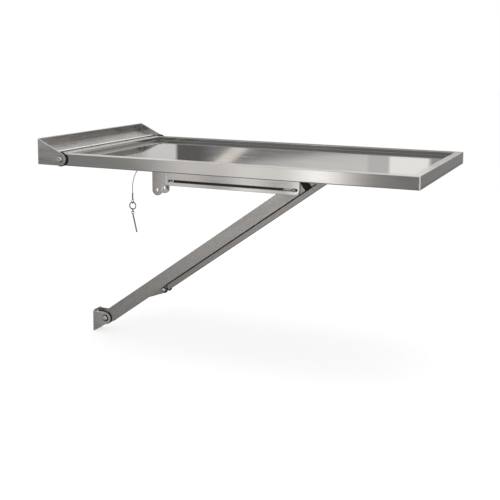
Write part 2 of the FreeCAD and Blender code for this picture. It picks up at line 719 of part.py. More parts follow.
def lower_wall_bracket():
    """Small channel bracket for the strut's foot, its back plate taller than its ears."""
    body = new_body("lower_wall_bracket")
    profile = new_sketch(body, "XZ_Plane")
    add_nosed_outline(profile, [("0", "lower_top"), ("0", "lower_bottom")],
                      "foot_x", "foot_z", "ear_nose")
    pad(body, profile, "2*lower_outside", both_ways=True)
    inside = new_sketch(body, "XZ_Plane")
    add_outline(inside, rectangle("bracket_thick", "lower_bottom - 1",
                                  "foot_x + ear_nose + 1", "lower_top + 1"))
    pocket(body, inside, "2*lower_inside", both_ways=True)
    plate = new_sketch(body, "YZ_Plane")
    add_outline(plate, [
        ("-lower_outside", "lower_bottom"),
        ("lower_outside", "lower_bottom"),
        ("lower_outside", "lower_plate_top", "lower_corner"),
        ("-lower_outside", "lower_plate_top", "lower_corner"),
    ])
    pad(body, plate, "bracket_thick")
    pivots = new_sketch(body, "XZ_Plane")
    add_circle(pivots, "foot_x", "foot_z", "m10_radius + running_fit")
    pocket(body, pivots, "2*lower_outside + 2", both_ways=True)
    screws = new_sketch(body, "YZ_Plane")
    add_circle(screws, "0", "lower_screw_high", "lower_screw_radius")
    add_circle(screws, "0", "lower_screw_low", "lower_screw_radius")
    pocket(body, screws, "bracket_thick", reverse=True)
    return keep(body, "lower_wall_bracket")


def lower_pivot_hardware():
    """Bolt through the strut's foot, its locking nut and two black discs."""
    bolt = button_bolt("strut_pivot_bolt", "m10",
                       "2*lower_outside + m10_nut_height + thread_stub")
    turn(bolt, *TOWARDS_NEAR)
    place(bolt, "foot_x", "-lower_outside", "foot_z")
    keep(bolt, "lower_pivot_bolt")
    nut = locking_nut("strut_pivot_nut", "m10")
    turn(nut, *TOWARDS_FAR)
    place(nut, "foot_x", "lower_outside", "foot_z")
    keep(nut, "lower_pivot_nut")
    spacer = disc("lower_spacer", "lower_disc", "m10_radius + running_fit",
                  "lower_disc_thick")
    turn(spacer, *TOWARDS_FAR)
    place(spacer, "foot_x", "-lower_inside", "foot_z")
    keep(both_sides("lower_spacer_pair", spacer), "lower_pivot_spacers")


# ---------------------------------------------------------------- table top

def tray_top():
    """Tray folded from one sheet: flat rim, shallow recess, deep skirt and hem."""
    body = new_body("tray_top")

    def inset(sketch, distance):
        """Rectangle of the tray's outline moved in by distance."""
        add_outline(sketch, rectangle(f"tray_rear + {distance}", f"-tray_half + {distance}",
                                      f"tray_front - {distance}", f"tray_half - {distance}"))

    outer = new_sketch(body, "XY_Plane")
    inset(outer, "0")
    pad(body, outer, "rim_height", reverse=True)
    recess = new_sketch(body, "XY_Plane")
    inset(recess, "rim_flat")
    pocket(body, recess, "tray_depth")
    round_edges(body, "tray_bend", lambda box: upright(box, 30) or level(box, 0)
                or level(box, -number("tray_depth")))
    hem = new_sketch(body, "XY_Plane", "-rim_height")
    inset(hem, "(tray_gauge + hem_width)")
    pocket(body, hem, "tray_gauge", reverse=True)
    hollow = new_sketch(body, "XY_Plane", "-rim_height + tray_gauge")
    inset(hollow, "tray_gauge")
    pocket(body, hollow, "rim_height - 2*tray_gauge - tray_depth", reverse=True)
    channel = new_sketch(body, "XY_Plane", "-tray_gauge - tray_depth")
    inset(channel, "tray_gauge")
    inset(channel, "(rim_flat - tray_gauge)")
    pocket(body, channel, "tray_depth", reverse=True)
    pivots = new_sketch(body, "XZ_Plane")
    add_circle(pivots, "pivot_x", "pivot_z", "m10_radius + running_fit")
    pocket(body, pivots, "2*tray_half + 2", both_ways=True)
    return keep(body, "tray_top")


def spine_channel():
    """Channel welded under the middle of the tray, its web level with the hem."""
    body = new_body("spine_channel")
    section = new_sketch(body, "YZ_Plane", "spine_rear")
    ceiling = "(-tray_depth - tray_gauge)"
    web = "(spine_thick - rim_height)"
    add_outline(section, [
        ("-spine_half", "-rim_height"),
        ("spine_half", "-rim_height"),
        ("spine_half", ceiling),
        ("spine_half - spine_thick", ceiling),
        ("spine_half - spine_thick", web),
        ("spine_thick - spine_half", web),
        ("spine_thick - spine_half", ceiling),
        ("-spine_half", ceiling),
    ])
    pad(body, section, "spine_front - spine_rear")
    holes = new_sketch(body, "XY_Plane", web)
    for count, kind in ((4, "rail"), (2, "lock")):
        for index in range(count):
            add_circle(holes, f"{kind}_bolt_first + {index}*{kind}_bolt_step", "0",
                       "m6_radius + running_fit")
    pocket(body, holes, "spine_thick")
    return keep(body, "spine_channel")


def cross_stiffeners():
    """Three pairs of shallow channels from the spine out to the recess's edges."""
    stiffeners = []
    ceiling = "(-tray_depth - tray_gauge)"
    for index in range(3):
        body = new_body("stiffener")
        middle = f"(stiffener_first + {index}*stiffener_step)"
        profile = new_sketch(body, "XZ_Plane")
        add_outline(profile, [
            (f"{middle} - stiffener_half", "stiffener_low"),
            (f"{middle} + stiffener_half", "stiffener_low"),
            (f"{middle} + stiffener_half", ceiling),
            (f"{middle} + stiffener_half - spine_thick", ceiling),
            (f"{middle} + stiffener_half - spine_thick", "stiffener_low + spine_thick"),
            (f"{middle} - stiffener_half + spine_thick", "stiffener_low + spine_thick"),
            (f"{middle} - stiffener_half + spine_thick", ceiling),
            (f"{middle} - stiffener_half", ceiling),
        ])
        pad(body, profile, "tray_half - rim_flat - spine_half", reverse=True)
        place(body, "0", "spine_half", "0")
        stiffeners += [body, mirrored("stiffener_near", body)]
    return keep(group("stiffener_set", stiffeners), "cross_stiffeners")


def pivot_bosses():
    """Bosses welded inside the skirt that give the hinge bolts a long bearing."""
    boss = disc("pivot_boss", "boss_radius", "m10_radius + running_fit", "boss_length")
    turn(boss, *TOWARDS_FAR)
    place(boss, "pivot_x", "-tray_half + tray_gauge", "pivot_z")
    return keep(both_sides("pivot_boss_pair", boss), "pivot_bosses")


def slide_rail():
    """Channel, open downwards, with a long slot in each wall for the slide pins."""
    body = new_body("slide_rail")
    profile = new_sketch(body, "XZ_Plane")
    add_outline(profile, [
        ("rail_rear", "rail_bottom"),
        ("rail_front", "rail_bottom", "rail_corner"),
        ("rail_front", "-rim_height"),
        ("rail_rear", "-rim_height"),
    ])
    pad(body, profile, "2*rail_half", both_ways=True)
    bend_side = number("rail_half")
    round_edges(body, "rail_bend", lambda box: level(box, -number("rim_height"))
                and abs(abs(box.YMin) - bend_side) < 1e-3 and box.XLength > 100)
    inside = new_sketch(body, "XZ_Plane")
    add_outline(inside, rectangle("rail_rear - 1", "rail_bottom - 1",
                                  "rail_front - rail_thick", "-rim_height - rail_thick"))
    pocket(body, inside, "2*rail_inside", both_ways=True)
    mouth = new_sketch(body, "XZ_Plane")
    add_outline(mouth, rectangle("rail_front - rail_thick - 1", "rail_bottom - 1",
                                 "rail_front + 1", "-rim_height - rail_thick"))
    pocket(body, mouth, "2*rail_lip", both_ways=True)
    slot = new_sketch(body, "XZ_Plane")
    add_stadium(slot, ("slot_rear + slot_half", "slide_z"), ("slot_front - slot_half", "slide_z"),
                "slot_half")
    pocket(body, slot, "2*rail_half + 2", both_ways=True)
    holes = new_sketch(body, "XY_Plane", "-rim_height")
    for index in range(4):
        add_circle(holes, f"rail_bolt_first + {index}*rail_bolt_step", "0",
                   "m6_radius + running_fit")
    pocket(body, holes, "rail_thick")
    return keep(body, "slide_rail")


def under_bolts(kind, count, plate):
    """Row of M6 bolts up through a plate and the spine, with nuts inside the spine."""
    bolts = []
    nuts = []
    for index in range(count):
        along = f"{kind}_bolt_first + {index}*{kind}_bolt_step"
        bolt = button_bolt(f"{kind}_bolt", "m6",
                           f"{plate} + spine_thick + m6_nut_height + thread_stub")
        turn(bolt, *DOWNWARDS)
        bolts.append(place(bolt, along, "0", f"-rim_height - {plate}"))
        nut = locking_nut(f"{kind}_nut", "m6")
        nuts.append(place(nut, along, "0", "spine_thick - rim_height"))
    return bolts, nuts


def rail_fasteners():
    """Four bolts and nuts that hold the rail."""
    bolts, nuts = under_bolts("rail", 4, "rail_thick")
    keep(group("rail_bolt_row", bolts), "rail_bolts")
    keep(group("rail_nut_row", nuts), "rail_nuts")


def lock_bracket():
    """Channel behind the rail whose two lobes are slotted for the lock pin."""
    body = new_body("lock_bracket")
    profile = new_sketch(body, "XZ_Plane")
    add_nosed_outline(profile, [
        ("lobe_x + lobe_radius", "lock_heel"),
        ("rail_rear", "lock_heel"),
        ("rail_rear", "-rim_height"),
        ("lock_rear", "-rim_height"),
    ], "lobe_x", "lobe_z", "lobe_radius")
    pad(body, profile, "2*rail_half", both_ways=True)
    bend_side = number("rail_half")
    round_edges(body, "rail_bend", lambda box: level(box, -number("rim_height"))
                and abs(abs(box.YMin) - bend_side) < 1e-3 and box.XLength > 20)
    inside = new_sketch(body, "XZ_Plane")
    add_outline(inside, rectangle("lock_rear - 1", "lobe_z - lobe_radius - 1",
                                  "rail_rear + 1", "-rim_height - rail_thick"))
    pocket(body, inside, "2*rail_inside", both_ways=True)
    slots = new_sketch(body, "XZ_Plane")
    add_stadium(slots, ("lobe_x", "lobe_z - lock_slot_reach"), ("lobe_x", "lobe_z + lock_slot_reach"),
                "lock_slot_half")
    pocket(body, slots, "2*rail_half + 2", both_ways=True)
    screw = new_sketch(body, "XZ_Plane")
    add_circle(screw, "anchor_x", "anchor_z", "anchor_radius + running_fit")
    pocket(body, screw, "rail_half + 1", reverse=True)
    holes = new_sketch(body, "XY_Plane", "-rim_height")
    for index in range(2):
        add_circle(holes, f"lock_bolt_first + {index}*lock_bolt_step", "0",
                   "m6_radius + running_fit")
    pocket(body, holes, "rail_thick")
    keep(body, "lock_bracket")
    bolts, nuts = under_bolts("lock", 2, "rail_thick")
    keep(group("lock_bolt_row", bolts), "lock_bracket_bolts")
    keep(group("lock_nut_row", nuts), "lock_bracket_nuts")


# ---------------------------------------------------------------- strut

def strut_tube():
    """Square tube with a round foot, its top and bottom walls cut away round the foot pivot."""
    body = new_body("strut_tube")
    profile = new_sketch(body, "XZ_Plane")
    add_nosed_outline(profile, [("tube_end", "-strut_deep"), ("tube_end", "strut_deep")],
                      "0", "0", "strut_deep")
    pad(body, profile, "2*strut_half", both_ways=True)
    inside = new_sketch(body, "XZ_Plane")
    add_outline(inside, rectangle("-strut_deep - 1", "strut_wall - strut_deep",
                                  "tube_end + 1", "strut_deep - strut_wall"))
    pocket(body, inside, "2*(strut_half - strut_wall)", both_ways=True)
    pivots = new_sketch(body, "XZ_Plane")
    add_circle(pivots, "0", "0", "m10_radius + running_fit")
    add_circle(pivots, "strut_length", "0", "m8_radius + running_fit")
    pocket(body, pivots, "2*strut_half + 2", both_ways=True)
    in_strut_frame(body)
    return keep(body, "strut_tube")


def cross_bush(name, outer, bore, half, along, above):
    """Bush across the strut's frame, at a point along it and above its centre line."""
    ring = disc(f"{name}_ring", outer, bore, f"2*({half})")
    turn(ring, *TOWARDS_FAR)
    place(ring, along, f"-({half})", above)
    item = group(f"{name}_piece", [ring])
    in_strut_frame(item)
    return keep(item, name)


def strut_end_block():
    """Black block that closes the strut's head, with a plug inside the tube."""
    body = new_body("strut_end_block")
    block = new_sketch(body, "XZ_Plane")
    add_outline(block, rectangle("tube_end", "-strut_deep", "tube_end + block_length", "strut_deep"))
    pad(body, block, "2*strut_half", both_ways=True)
    plug = new_sketch(body, "XZ_Plane")
    inner = "(strut_deep - strut_wall - plug_ease)"
    add_outline(plug, rectangle("tube_end - block_plug", f"-{inner}", "tube_end + 1", inner))
    pad(body, plug, "2*(strut_half - strut_wall - plug_ease)", both_ways=True)
    in_strut_frame(body)
    return keep(body, "strut_end_block")


def latch_clevis():
    """Two cheeks on a web, welded under the strut, that carry the latch pivot."""
    body = new_body("latch_clevis")
    profile = new_sketch(body, "XZ_Plane")
    add_nosed_outline(profile, [
        ("clevis_heel", "-strut_deep"),
        ("clevis_tail", "-strut_deep"),
        ("clevis_tail + clevis_blunt", "-strut_deep - clevis_step"),
    ], "latch_along", "latch_below", "clevis_nose")
    pad(body, profile, "2*strut_half", both_ways=True)
    inside = new_sketch(body, "XZ_Plane")
    add_outline(inside, [
        ("clevis_tail - 1", "latch_below - clevis_nose - 1"),
        ("clevis_heel + 1", "latch_below - clevis_nose - 1"),
        ("clevis_heel + 1", "1 - strut_deep"),
        ("clevis_web_end", "1 - strut_deep"),
        ("clevis_web_end", "-strut_deep - clevis_web"),
        ("clevis_tail - 1", "-strut_deep - clevis_web"),
    ])
    pocket(body, inside, "2*(strut_half - clevis_thick)", both_ways=True)
    pivots = new_sketch(body, "XZ_Plane")
    add_circle(pivots, "latch_along", "latch_below", "m8_radius + running_fit")
    pocket(body, pivots, "2*strut_half + 2", both_ways=True)
    in_strut_frame(body)
    return keep(body, "latch_clevis")


def latch_pivot_hardware():
    """Bolt and locking nut through the clevis, and the black discs beside the bar."""
    bolt = button_bolt("latch_bolt", "m8", "2*strut_half + m8_nut_height + thread_stub")
    turn(bolt, *TOWARDS_NEAR)
    place(bolt, "latch_along", "-strut_half", "latch_below")
    keep(in_strut_frame(group("latch_bolt_piece", [bolt])), "latch_pivot_bolt")
    nut = locking_nut("latch_nut", "m8")
    turn(nut, *TOWARDS_FAR)
    place(nut, "latch_along", "strut_half", "latch_below")
    keep(in_strut_frame(group("latch_nut_piece", [nut])), "latch_pivot_nut")
    spacer = new_body("latch_disc_near")
    outline = new_sketch(spacer, "XZ_Plane", "latch_half + body_gap")
    add_circle(outline, "latch_along", "latch_below", "latch_disc")
    pad(spacer, outline, "latch_disc_thick")
    flat = new_sketch(spacer, "XZ_Plane")
    add_outline(flat, rectangle("latch_along - latch_disc - 1", "-strut_deep - body_gap",
                                "latch_along + latch_disc + 1", "0"))
    pocket(spacer, flat, "strut_half", reverse=True)
    bore = new_sketch(spacer, "XZ_Plane")
    add_circle(bore, "latch_along", "latch_below", "m8_radius + running_fit")
    pocket(spacer, bore, "strut_half", reverse=True)
    keep(in_strut_frame(both_sides("latch_disc_pair", spacer)), "latch_spacers")


def latch_spring():
    """Space that the torsion spring's close coils fill, round the latch bush inside the bar."""
    coil = disc("latch_spring_coil", "spring_radius + spring_wire", "spring_radius - spring_wire",
                "spring_length")
    turn(coil, *TOWARDS_FAR)
    place(coil, "latch_along", "-spring_length/2", "latch_below")
    return keep(in_strut_frame(group("latch_spring_piece", [coil])), "latch_spring")


# ---------------------------------------------------------------- latch

def latch_bar():
    """Rectangular tube that hangs from the clevis, round at its pivot."""
    body = new_body("latch_bar")
    profile = new_sketch(body, "XZ_Plane")
    add_nosed_outline(profile, [("foot_back", "latch_bottom"), ("foot_back", "latch_top")],
                      "latch_along", "latch_below", "latch_deep/2")
    pad(body, profile, "2*latch_half", both_ways=True)
    inside = new_sketch(body, "XZ_Plane")
    add_outline(inside, rectangle("latch_along - latch_deep/2 - 1", "latch_bottom + latch_wall",
                                  "foot_back + 1", "latch_top - latch_wall"))
    pocket(body, inside, "2*(latch_half - latch_wall)", both_ways=True)
    pivots = new_sketch(body, "XZ_Plane")
    add_circle(pivots, "latch_along", "latch_below", "m8_radius + running_fit")
    pocket(body, pivots, "2*latch_half + 2", both_ways=True)
    in_strut_frame(body)
    return keep(body, "latch_bar")


def along_where_flat(above):
    """Distance along the strut where a line at that height above it reaches the foot's flat top."""
    return f"((foot_top - foot_z - ({above})*cos(strut_angle))/sin(strut_angle))"


def latch_foot():
    """Folded shoe on the end of the latch bar, its top flat under the spine."""
    body = new_body("latch_foot")
    profile = new_sketch(body, "XZ_Plane")
    add_outline(profile, [
        ("foot_back", "latch_bottom"),
        (along_where_flat("latch_bottom"), "latch_bottom"),
        (along_where_flat("foot_peak"), "foot_peak"),
        ("foot_back", "strut_deep"),
    ])
    pad(body, profile, "2*latch_half", both_ways=True)
    inside = new_sketch(body, "XZ_Plane")
    add_outline(inside, [
        ("foot_back - 1", "latch_bottom + foot_thick"),
        (f"{along_where_flat('latch_bottom')} - 4*foot_thick", "latch_bottom + foot_thick"),
        (f"{along_where_flat('foot_peak')} - foot_thick/2", "foot_peak - 1.5*foot_thick"),
        ("foot_back - 1", "strut_deep - 1.5*foot_thick"),
    ])
    pocket(body, inside, "2*(latch_half - foot_thick)", both_ways=True)
    holes = new_sketch(body, "XZ_Plane")
    add_circle(holes, "foot_bolt_along", "foot_bolt_above",
               "m6_radius + running_fit")
    pocket(body, holes, "2*latch_half + 2", both_ways=True)
    in_strut_frame(body)
    keep(body, "latch_foot")
    bolt = button_bolt("foot_bolt", "m6", "2*latch_half + m6_nut_height")
    turn(bolt, *TOWARDS_NEAR)
    place(bolt, "foot_bolt_along", "-latch_half", "foot_bolt_above")
    keep(in_strut_frame(group("foot_bolt_piece", [bolt])), "latch_foot_bolt")
    nut = locking_nut("foot_nut", "m6")
    turn(nut, *TOWARDS_FAR)
    place(nut, "foot_bolt_along", "latch_half", "foot_bolt_above")
    keep(in_strut_frame(group("foot_nut_piece", [nut])), "latch_foot_nut")


# ---------------------------------------------------------------- slide shuttle

def slide_shuttle():
    """Pins, black discs and retaining washers that slide in the rail's slots."""
    pin = cylinder("slide_pin", "slot_half - slide_fit", "pin_end - strut_half - body_gap")
    turn(pin, *TOWARDS_FAR)
    place(pin, "slide_x", "-pin_end", "slide_z")
    keep(both_sides("slide_pin_pair", pin), "slide_pins")
    runner = disc("slide_runner", "slide_disc", "slot_half - slide_fit",
                  "slide_disc_thick")
    turn(runner, *TOWARDS_FAR)
    place(runner, "slide_x", "body_gap - rail_inside", "slide_z")
    keep(both_sides("slide_runner_pair", runner), "slide_spacers")
    clip = disc("slide_clip", "clip_radius", "slot_half - slide_fit", "clip_thick")
    turn(clip, *TOWARDS_FAR)
    place(clip, "slide_x", "-rail_half - body_gap - clip_thick", "slide_z")
    keep(both_sides("slide_clip_pair", clip), "slide_washers")


# ---------------------------------------------------------------- lanyard and lock pin

def lanyard_screw():
    """Screw in the lock bracket's near wall that the lanyard's lug turns on."""
    body = new_body("lanyard_screw")
    profile = new_sketch(body, "XZ_Plane")
    shank = "(lug_thick + 2*body_gap + rail_thick + 2)"
    add_outline(profile, [
        ("0", f"-{shank}"),
        ("anchor_radius", f"-{shank}"),
        ("anchor_radius", "0"),
        ("anchor_head", "0"),
        ("anchor_head", "anchor_head_height", "anchor_head_height*0.5"),
        ("0", "anchor_head_height"),
    ])
    spin(body, profile)
    socket = new_sketch(body, "XY_Plane", "anchor_head_height")
    add_outline(socket, hexagon("anchor_socket"))
    pocket(body, socket, "anchor_head_height*0.6")
    turn(body, *TOWARDS_NEAR)
    place(body, "anchor_x", "-rail_half - lug_thick - 2*body_gap", "anchor_z")
    return keep(body, "lanyard_screw")


def lanyard_lug():
    """Flat ring terminal on the screw, with a barrel that the wire rope is crimped into."""
    ring = disc("lug_ring", "lug_radius", "anchor_radius + running_fit", "lug_thick")
    turn(ring, *TOWARDS_FAR)
    place(ring, "anchor_x", "-rail_half - body_gap - lug_thick", "anchor_z")
    start = FreeCAD.Vector(number("anchor_x"), -number("wire_half"), number("anchor_z"))
    end = FreeCAD.Vector(WIRE_ROUTE[0][0], -number("wire_half"), WIRE_ROUTE[0][1])
    outward = (end - start).normalize()
    lip = start + outward * number("lug_radius - 1")
    barrel = cylinder("lug_barrel", "barrel_radius",
                      f"sqrt((anchor_x - {WIRE_ROUTE[0][0]})^2 + (anchor_z - ({WIRE_ROUTE[0][1]}))^2)"
                      " - lug_radius + 1")
    barrel.Placement = FreeCAD.Placement(lip, FreeCAD.Rotation(FreeCAD.Vector(0, 0, 1), outward))
    return keep(fuse("lug_piece", [ring, barrel]), "lanyard_lug")


def rounded_path(points):
    """Straight runs joined by tangent arcs as large as the runs allow. Returns edges and radii."""
    edges = []
    radii = []
    start = points[0]
    for before, point, after in zip(points, points[1:], points[2:]):
        back = (before - point).normalize()
        ahead = (after - point).normalize()
        half_turn = (math.pi - back.getAngle(ahead)) / 2
        shorter = min((before - point).Length, (after - point).Length)
        reach = ARC_SHARE * shorter
        radius = reach / math.tan(half_turn)
        inward = (back + ahead).normalize()
        middle = point + inward * (radius / math.cos(half_turn) - radius)
        edges.append(Part.LineSegment(start, point + back * reach))
        edges.append(Part.Arc(point + back * reach, middle, point + ahead * reach))
        radii.append(radius)
        start = point + ahead * reach
    edges.append(Part.LineSegment(start, points[-1]))
    return edges, radii


def lanyard_wire():
    """Wire rope from the lug's barrel to the crimp sleeve."""
    points = [FreeCAD.Vector(x, -number("wire_half"), z) for x, z in WIRE_ROUTE]
    edges, radii = rounded_path(points)
    path = Part.Wire([edge.toShape() for edge in edges])
    direction = (points[1] - points[0]).normalize()
    circle = Part.Circle(points[0], direction, number("wire_radius")).toShape()
    tube = path.makePipeShell([Part.Wire([circle])], True, False)
    expected = math.pi * number("wire_radius") ** 2 * path.Length
    print("wire radii", [round(radius, 1) for radius in radii])
    print("wire volume", round(tube.Volume, 1), "section times length", round(expected, 1))
    item = doc.addObject("Part::Feature", "lanyard_wire_tube")
    item.Shape = tube
    return keep(item, "lanyard_wire")


def lanyard_eye():
    """Crimp sleeve and the eye of wire rope that holds the split ring."""
    sleeve = cylinder("crimp_sleeve", "crimp_radius", "crimp_top - crimp_bottom")
    place(sleeve, "hang_x", "-wire_half", "crimp_bottom")
    eye = torus("wire_eye", "eye_radius", "wire_radius")
    turn(eye, (0, 1, 0), 90)
    place(eye, "hang_x", "-wire_half", "eye_z")
    return keep(fuse("wire_eye_piece", [sleeve, eye]), "lanyard_eye")


def split_ring():
    """Ring that hangs in the wire eye."""
    ring = torus("split_ring_torus", "ring_radius", "ring_wire")
    turn(ring, *TOWARDS_NEAR)
    place(ring, "hang_x", "-wire_half", "ring_z")
    return keep(ring, "split_ring")


def pin_link():
    """Small link between the split ring and the lock pin."""
    link = torus("pin_link_torus", "link_radius", "link_wire")
    level_axis = FreeCAD.Rotation(FreeCAD.Vector(0, 1, 0), 90)
    swing = FreeCAD.Rotation(FreeCAD.Vector(0, 0, 1), number("link_turn"))
    link.Placement.Rotation = swing.multiply(level_axis)
    place(link, "hang_x", "-wire_half", "link_z")
    return keep(link, "pin_link")


def lock_pin():
    """Round pin with a wire eye, leaning as it hangs."""
    eye = torus("pin_eye", "pin_eye_radius", "pin_eye_wire")
    level_axis = FreeCAD.Rotation(FreeCAD.Vector(0, 1, 0), 90)
    swing = FreeCAD.Rotation(FreeCAD.Vector(0, 0, 1), number("link_turn") + 90)
    eye.Placement.Rotation = swing.multiply(level_axis)
    place(eye, "hang_x", "-wire_half", "pin_eye_z")
    body = new_body("pin_rod")
    profile = new_sketch(body, "XZ_Plane")
    add_outline(profile, [
        ("0", "-pin_length"),
        ("pin_radius - pin_tip", "-pin_length"),
        ("pin_radius", "pin_tip - pin_length"),
        ("pin_radius", "0"),
        ("0", "0"),
    ])
    spin(body, profile)
    turn(body, (0, -1, 0), number("pin_lean"))
    place(body, "hang_x", "-wire_half", "pin_eye_z - pin_eye_radius + pin_eye_wire/2")
    return keep(fuse("lock_pin_piece", [eye, body]), "lock_pin")


# ---------------------------------------------------------------- assembly and export

def build():
    """Make every piece."""
    upper_wall_bracket()
    rear_apron()
    table_hinge_hardware()
    lower_wall_bracket()
    lower_pivot_hardware()
    tray_top()
    spine_channel()
    cross_stiffeners()
    pivot_bosses()
    slide_rail()
    rail_fasteners()
    lock_bracket()
    strut_tube()
    inner_half = "strut_half - strut_wall"
    cross_bush("strut_foot_bush", "bush_radius", "m10_radius + running_fit", inner_half, "0", "0")
    cross_bush("strut_head_sleeve", "bush_radius", "m8_radius + running_fit", inner_half,
               "strut_length", "0")
    strut_end_block()
    latch_clevis()
    latch_pivot_hardware()
    latch_spring()
    latch_bar()
    cross_bush("latch_bush", "latch_bush_radius", "m8_radius + running_fit",
               "latch_half - latch_wall", "latch_along", "latch_below")
    latch_foot()
    slide_shuttle()
    lanyard_screw()
    lanyard_lug()
    lanyard_wire()
    lanyard_eye()
    split_ring()
    pin_link()
    lock_pin()


def check():
    """Stop at any failed object or bad shape."""
    doc.recompute()
    for item in doc.Objects:
        if "Invalid" in item.State or "Error" in item.State:
            raise ValueError(f"{item.Name} is {item.State}")
    for item in exports:
        if item.Shape.isNull() or not item.Shape.isValid() or not item.Shape.Solids:
            raise ValueError(f"{item.Label} has a bad shape")


def export():
    """Write each piece to its own STEP file."""
    os.makedirs("parts", exist_ok=True)
    for item in exports:
        item.Shape.exportStep(f"parts/{item.Label}.step")
    print(len(exports), "pieces written")


build()
check()
export()
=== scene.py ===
"""Studio scene of a wall-mounted fold-up exam table in brushed stainless steel.

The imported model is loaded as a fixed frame. Classes for the sub-assemblies dress its nodes with
finishes and add what the solids leave out: rope strands, spring coils, weld beads and thread turns.
"""

from __future__ import annotations

import logging
import math
from abc import ABC, abstractmethod
from dataclasses import dataclass, field
from enum import Enum

import bpy
from mathutils import Matrix, Vector

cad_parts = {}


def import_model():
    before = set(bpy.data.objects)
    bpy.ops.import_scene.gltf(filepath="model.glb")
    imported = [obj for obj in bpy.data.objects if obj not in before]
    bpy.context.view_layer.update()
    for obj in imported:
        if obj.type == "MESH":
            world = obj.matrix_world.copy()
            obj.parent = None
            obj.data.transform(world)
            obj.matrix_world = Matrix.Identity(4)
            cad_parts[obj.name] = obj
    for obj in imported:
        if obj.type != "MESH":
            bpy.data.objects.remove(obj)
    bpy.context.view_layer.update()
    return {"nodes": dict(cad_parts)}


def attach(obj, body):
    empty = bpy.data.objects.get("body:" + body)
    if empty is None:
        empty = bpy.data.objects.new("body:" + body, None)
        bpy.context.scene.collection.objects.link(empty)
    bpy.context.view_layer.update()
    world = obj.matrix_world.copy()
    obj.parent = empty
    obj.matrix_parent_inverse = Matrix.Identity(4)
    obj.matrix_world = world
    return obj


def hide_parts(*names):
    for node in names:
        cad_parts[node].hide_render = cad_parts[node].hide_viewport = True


LOG = logging.getLogger("exam_table")
MM = 0.001
SIDES = (-1.0, 1.0)
# The two pivots in x and z, in millimetres, and the strut's slope in degrees.
HINGE = (84.0, -18.0)
FOOT = (50.0, -614.0)
STRUT_SLOPE = 35.5454

Pair = tuple[float, float]
Point = tuple[float, float, float]
Seam = tuple[Point, ...]
Box = tuple[Point, Point]
Shell = tuple[list[Vector], list[tuple[int, ...]]]
Nodes = dict[str, bpy.types.Object]
Socket = bpy.types.NodeSocket
Inputs = dict[str | int, object]


# ---------------------------------------------------------------- node trees


class Tree:
    """A node tree with short calls for adding and joining nodes."""

    def __init__(self, tree: bpy.types.NodeTree) -> None:
        """Take over a node tree and empty it."""
        self.tree = tree
        tree.nodes.clear()

    def add(self, kind: str, inputs: Inputs | None = None, **settings: object) -> bpy.types.Node:
        """Add a node.

        Args:
            kind: the node's type name.
            inputs: a socket or a value for its inputs, by name or number.
            settings: attributes to set on it.

        Returns:
            The new node.
        """
        node = self.tree.nodes.new(kind)
        for name, value in settings.items():
            setattr(node, name, value)
        for name, value in (inputs or {}).items():
            target = node.inputs[name]
            if isinstance(value, bpy.types.NodeSocket):
                self.tree.links.new(value, target)
            elif isinstance(value, tuple) and target.type == "RGBA":
                target.default_value = (*value, 1.0)
            else:
                target.default_value = value
        return node

    def out(self, kind: str, inputs: Inputs | None = None, **settings: object) -> Socket:
        """Add a node and return its first output."""
        return self.add(kind, inputs, **settings).outputs[0]

    def math(self, operation: str, *values: object, clamp: bool = False) -> Socket:
        """Add a math node fed by sockets or numbers, and clamp it to 0 and 1 if wanted."""
        return self.out("ShaderNodeMath", dict(enumerate(values)), operation=operation,
                        use_clamp=clamp)

    def lift(self, value: object, slope: object, shift: object) -> Socket:
        """Multiply a value by a slope and shift it."""
        return self.math("MULTIPLY_ADD", value, slope, shift)

    def fade(self, value: object, slope: float, shift: float) -> Socket:
        """Multiply a value by a slope, shift it and clamp it to 0 and 1."""
        return self.math("MULTIPLY_ADD", value, slope, shift, clamp=True)

    def place(self, space: str = "Object") -> Socket:
        """Add the place that is looked at, in the object's space or in another."""
        return self.add("ShaderNodeTexCoord").outputs[space]

    def noise(self, vector: Socket, scale: float, detail: float) -> Socket:
        """Add a noise texture and return its factor, from 0 to 1."""
        return self.out("ShaderNodeTexNoise", {"Vector": vector, "Scale": scale, "Detail": detail})

    def marks(self, vector: Socket, stretch: Point, scale: float, detail: float) -> Socket:
        """Add a stretched noise texture about a middle of 0."""
        stretched = self.out("ShaderNodeMapping", {"Vector": vector, "Scale": stretch})
        return self.math("SUBTRACT", self.noise(stretched, scale, detail), 0.5)

    def mix(self, factor: object, first: object, second: object, blend: str = "MIX") -> Socket:
        """Mix two colours by a factor, with a socket or a value for each."""
        return self.add("ShaderNodeMix", {0: factor, 6: first, 7: second}, data_type="RGBA",
                        blend_type=blend).outputs[2]

    def shade(self, colour: Point, tone: Socket) -> Socket:
        """Multiply a colour by a tone."""
        return self.out("ShaderNodeVectorMath", {0: colour, "Scale": tone}, operation="SCALE")

    def tint(self, tone: Socket, mask: Socket, gain: float) -> Socket:
        """Brighten a tone by a gain inside a mask, or dim it if the gain is below 0."""
        return self.math("MULTIPLY", tone, self.lift(mask, gain, 1.0))

    def soften(self, radius: float) -> Socket:
        """Add the normal of edges that are rounded by a radius."""
        return self.out("ShaderNodeBevel", {"Radius": radius}, samples=BEVEL_SAMPLES)

    def within(self, place: Socket, box: Box) -> Socket:
        """Tell where a surface lies inside a box.

        Args:
            place: the surface's place in its object.
            box: the box's low and high corners, in millimetres.

        Returns:
            1 inside the box and 0 outside it.
        """
        mask = 1.0
        for part, low, high in zip(self.add("ShaderNodeSeparateXYZ", {0: place}).outputs, *box):
            off = self.math("ABSOLUTE", self.math("SUBTRACT", part, (low + high) / 2 * MM))
            inside = self.math("LESS_THAN", off, (high - low) / 2 * MM)
            mask = self.math("MULTIPLY", mask, inside)
        return mask


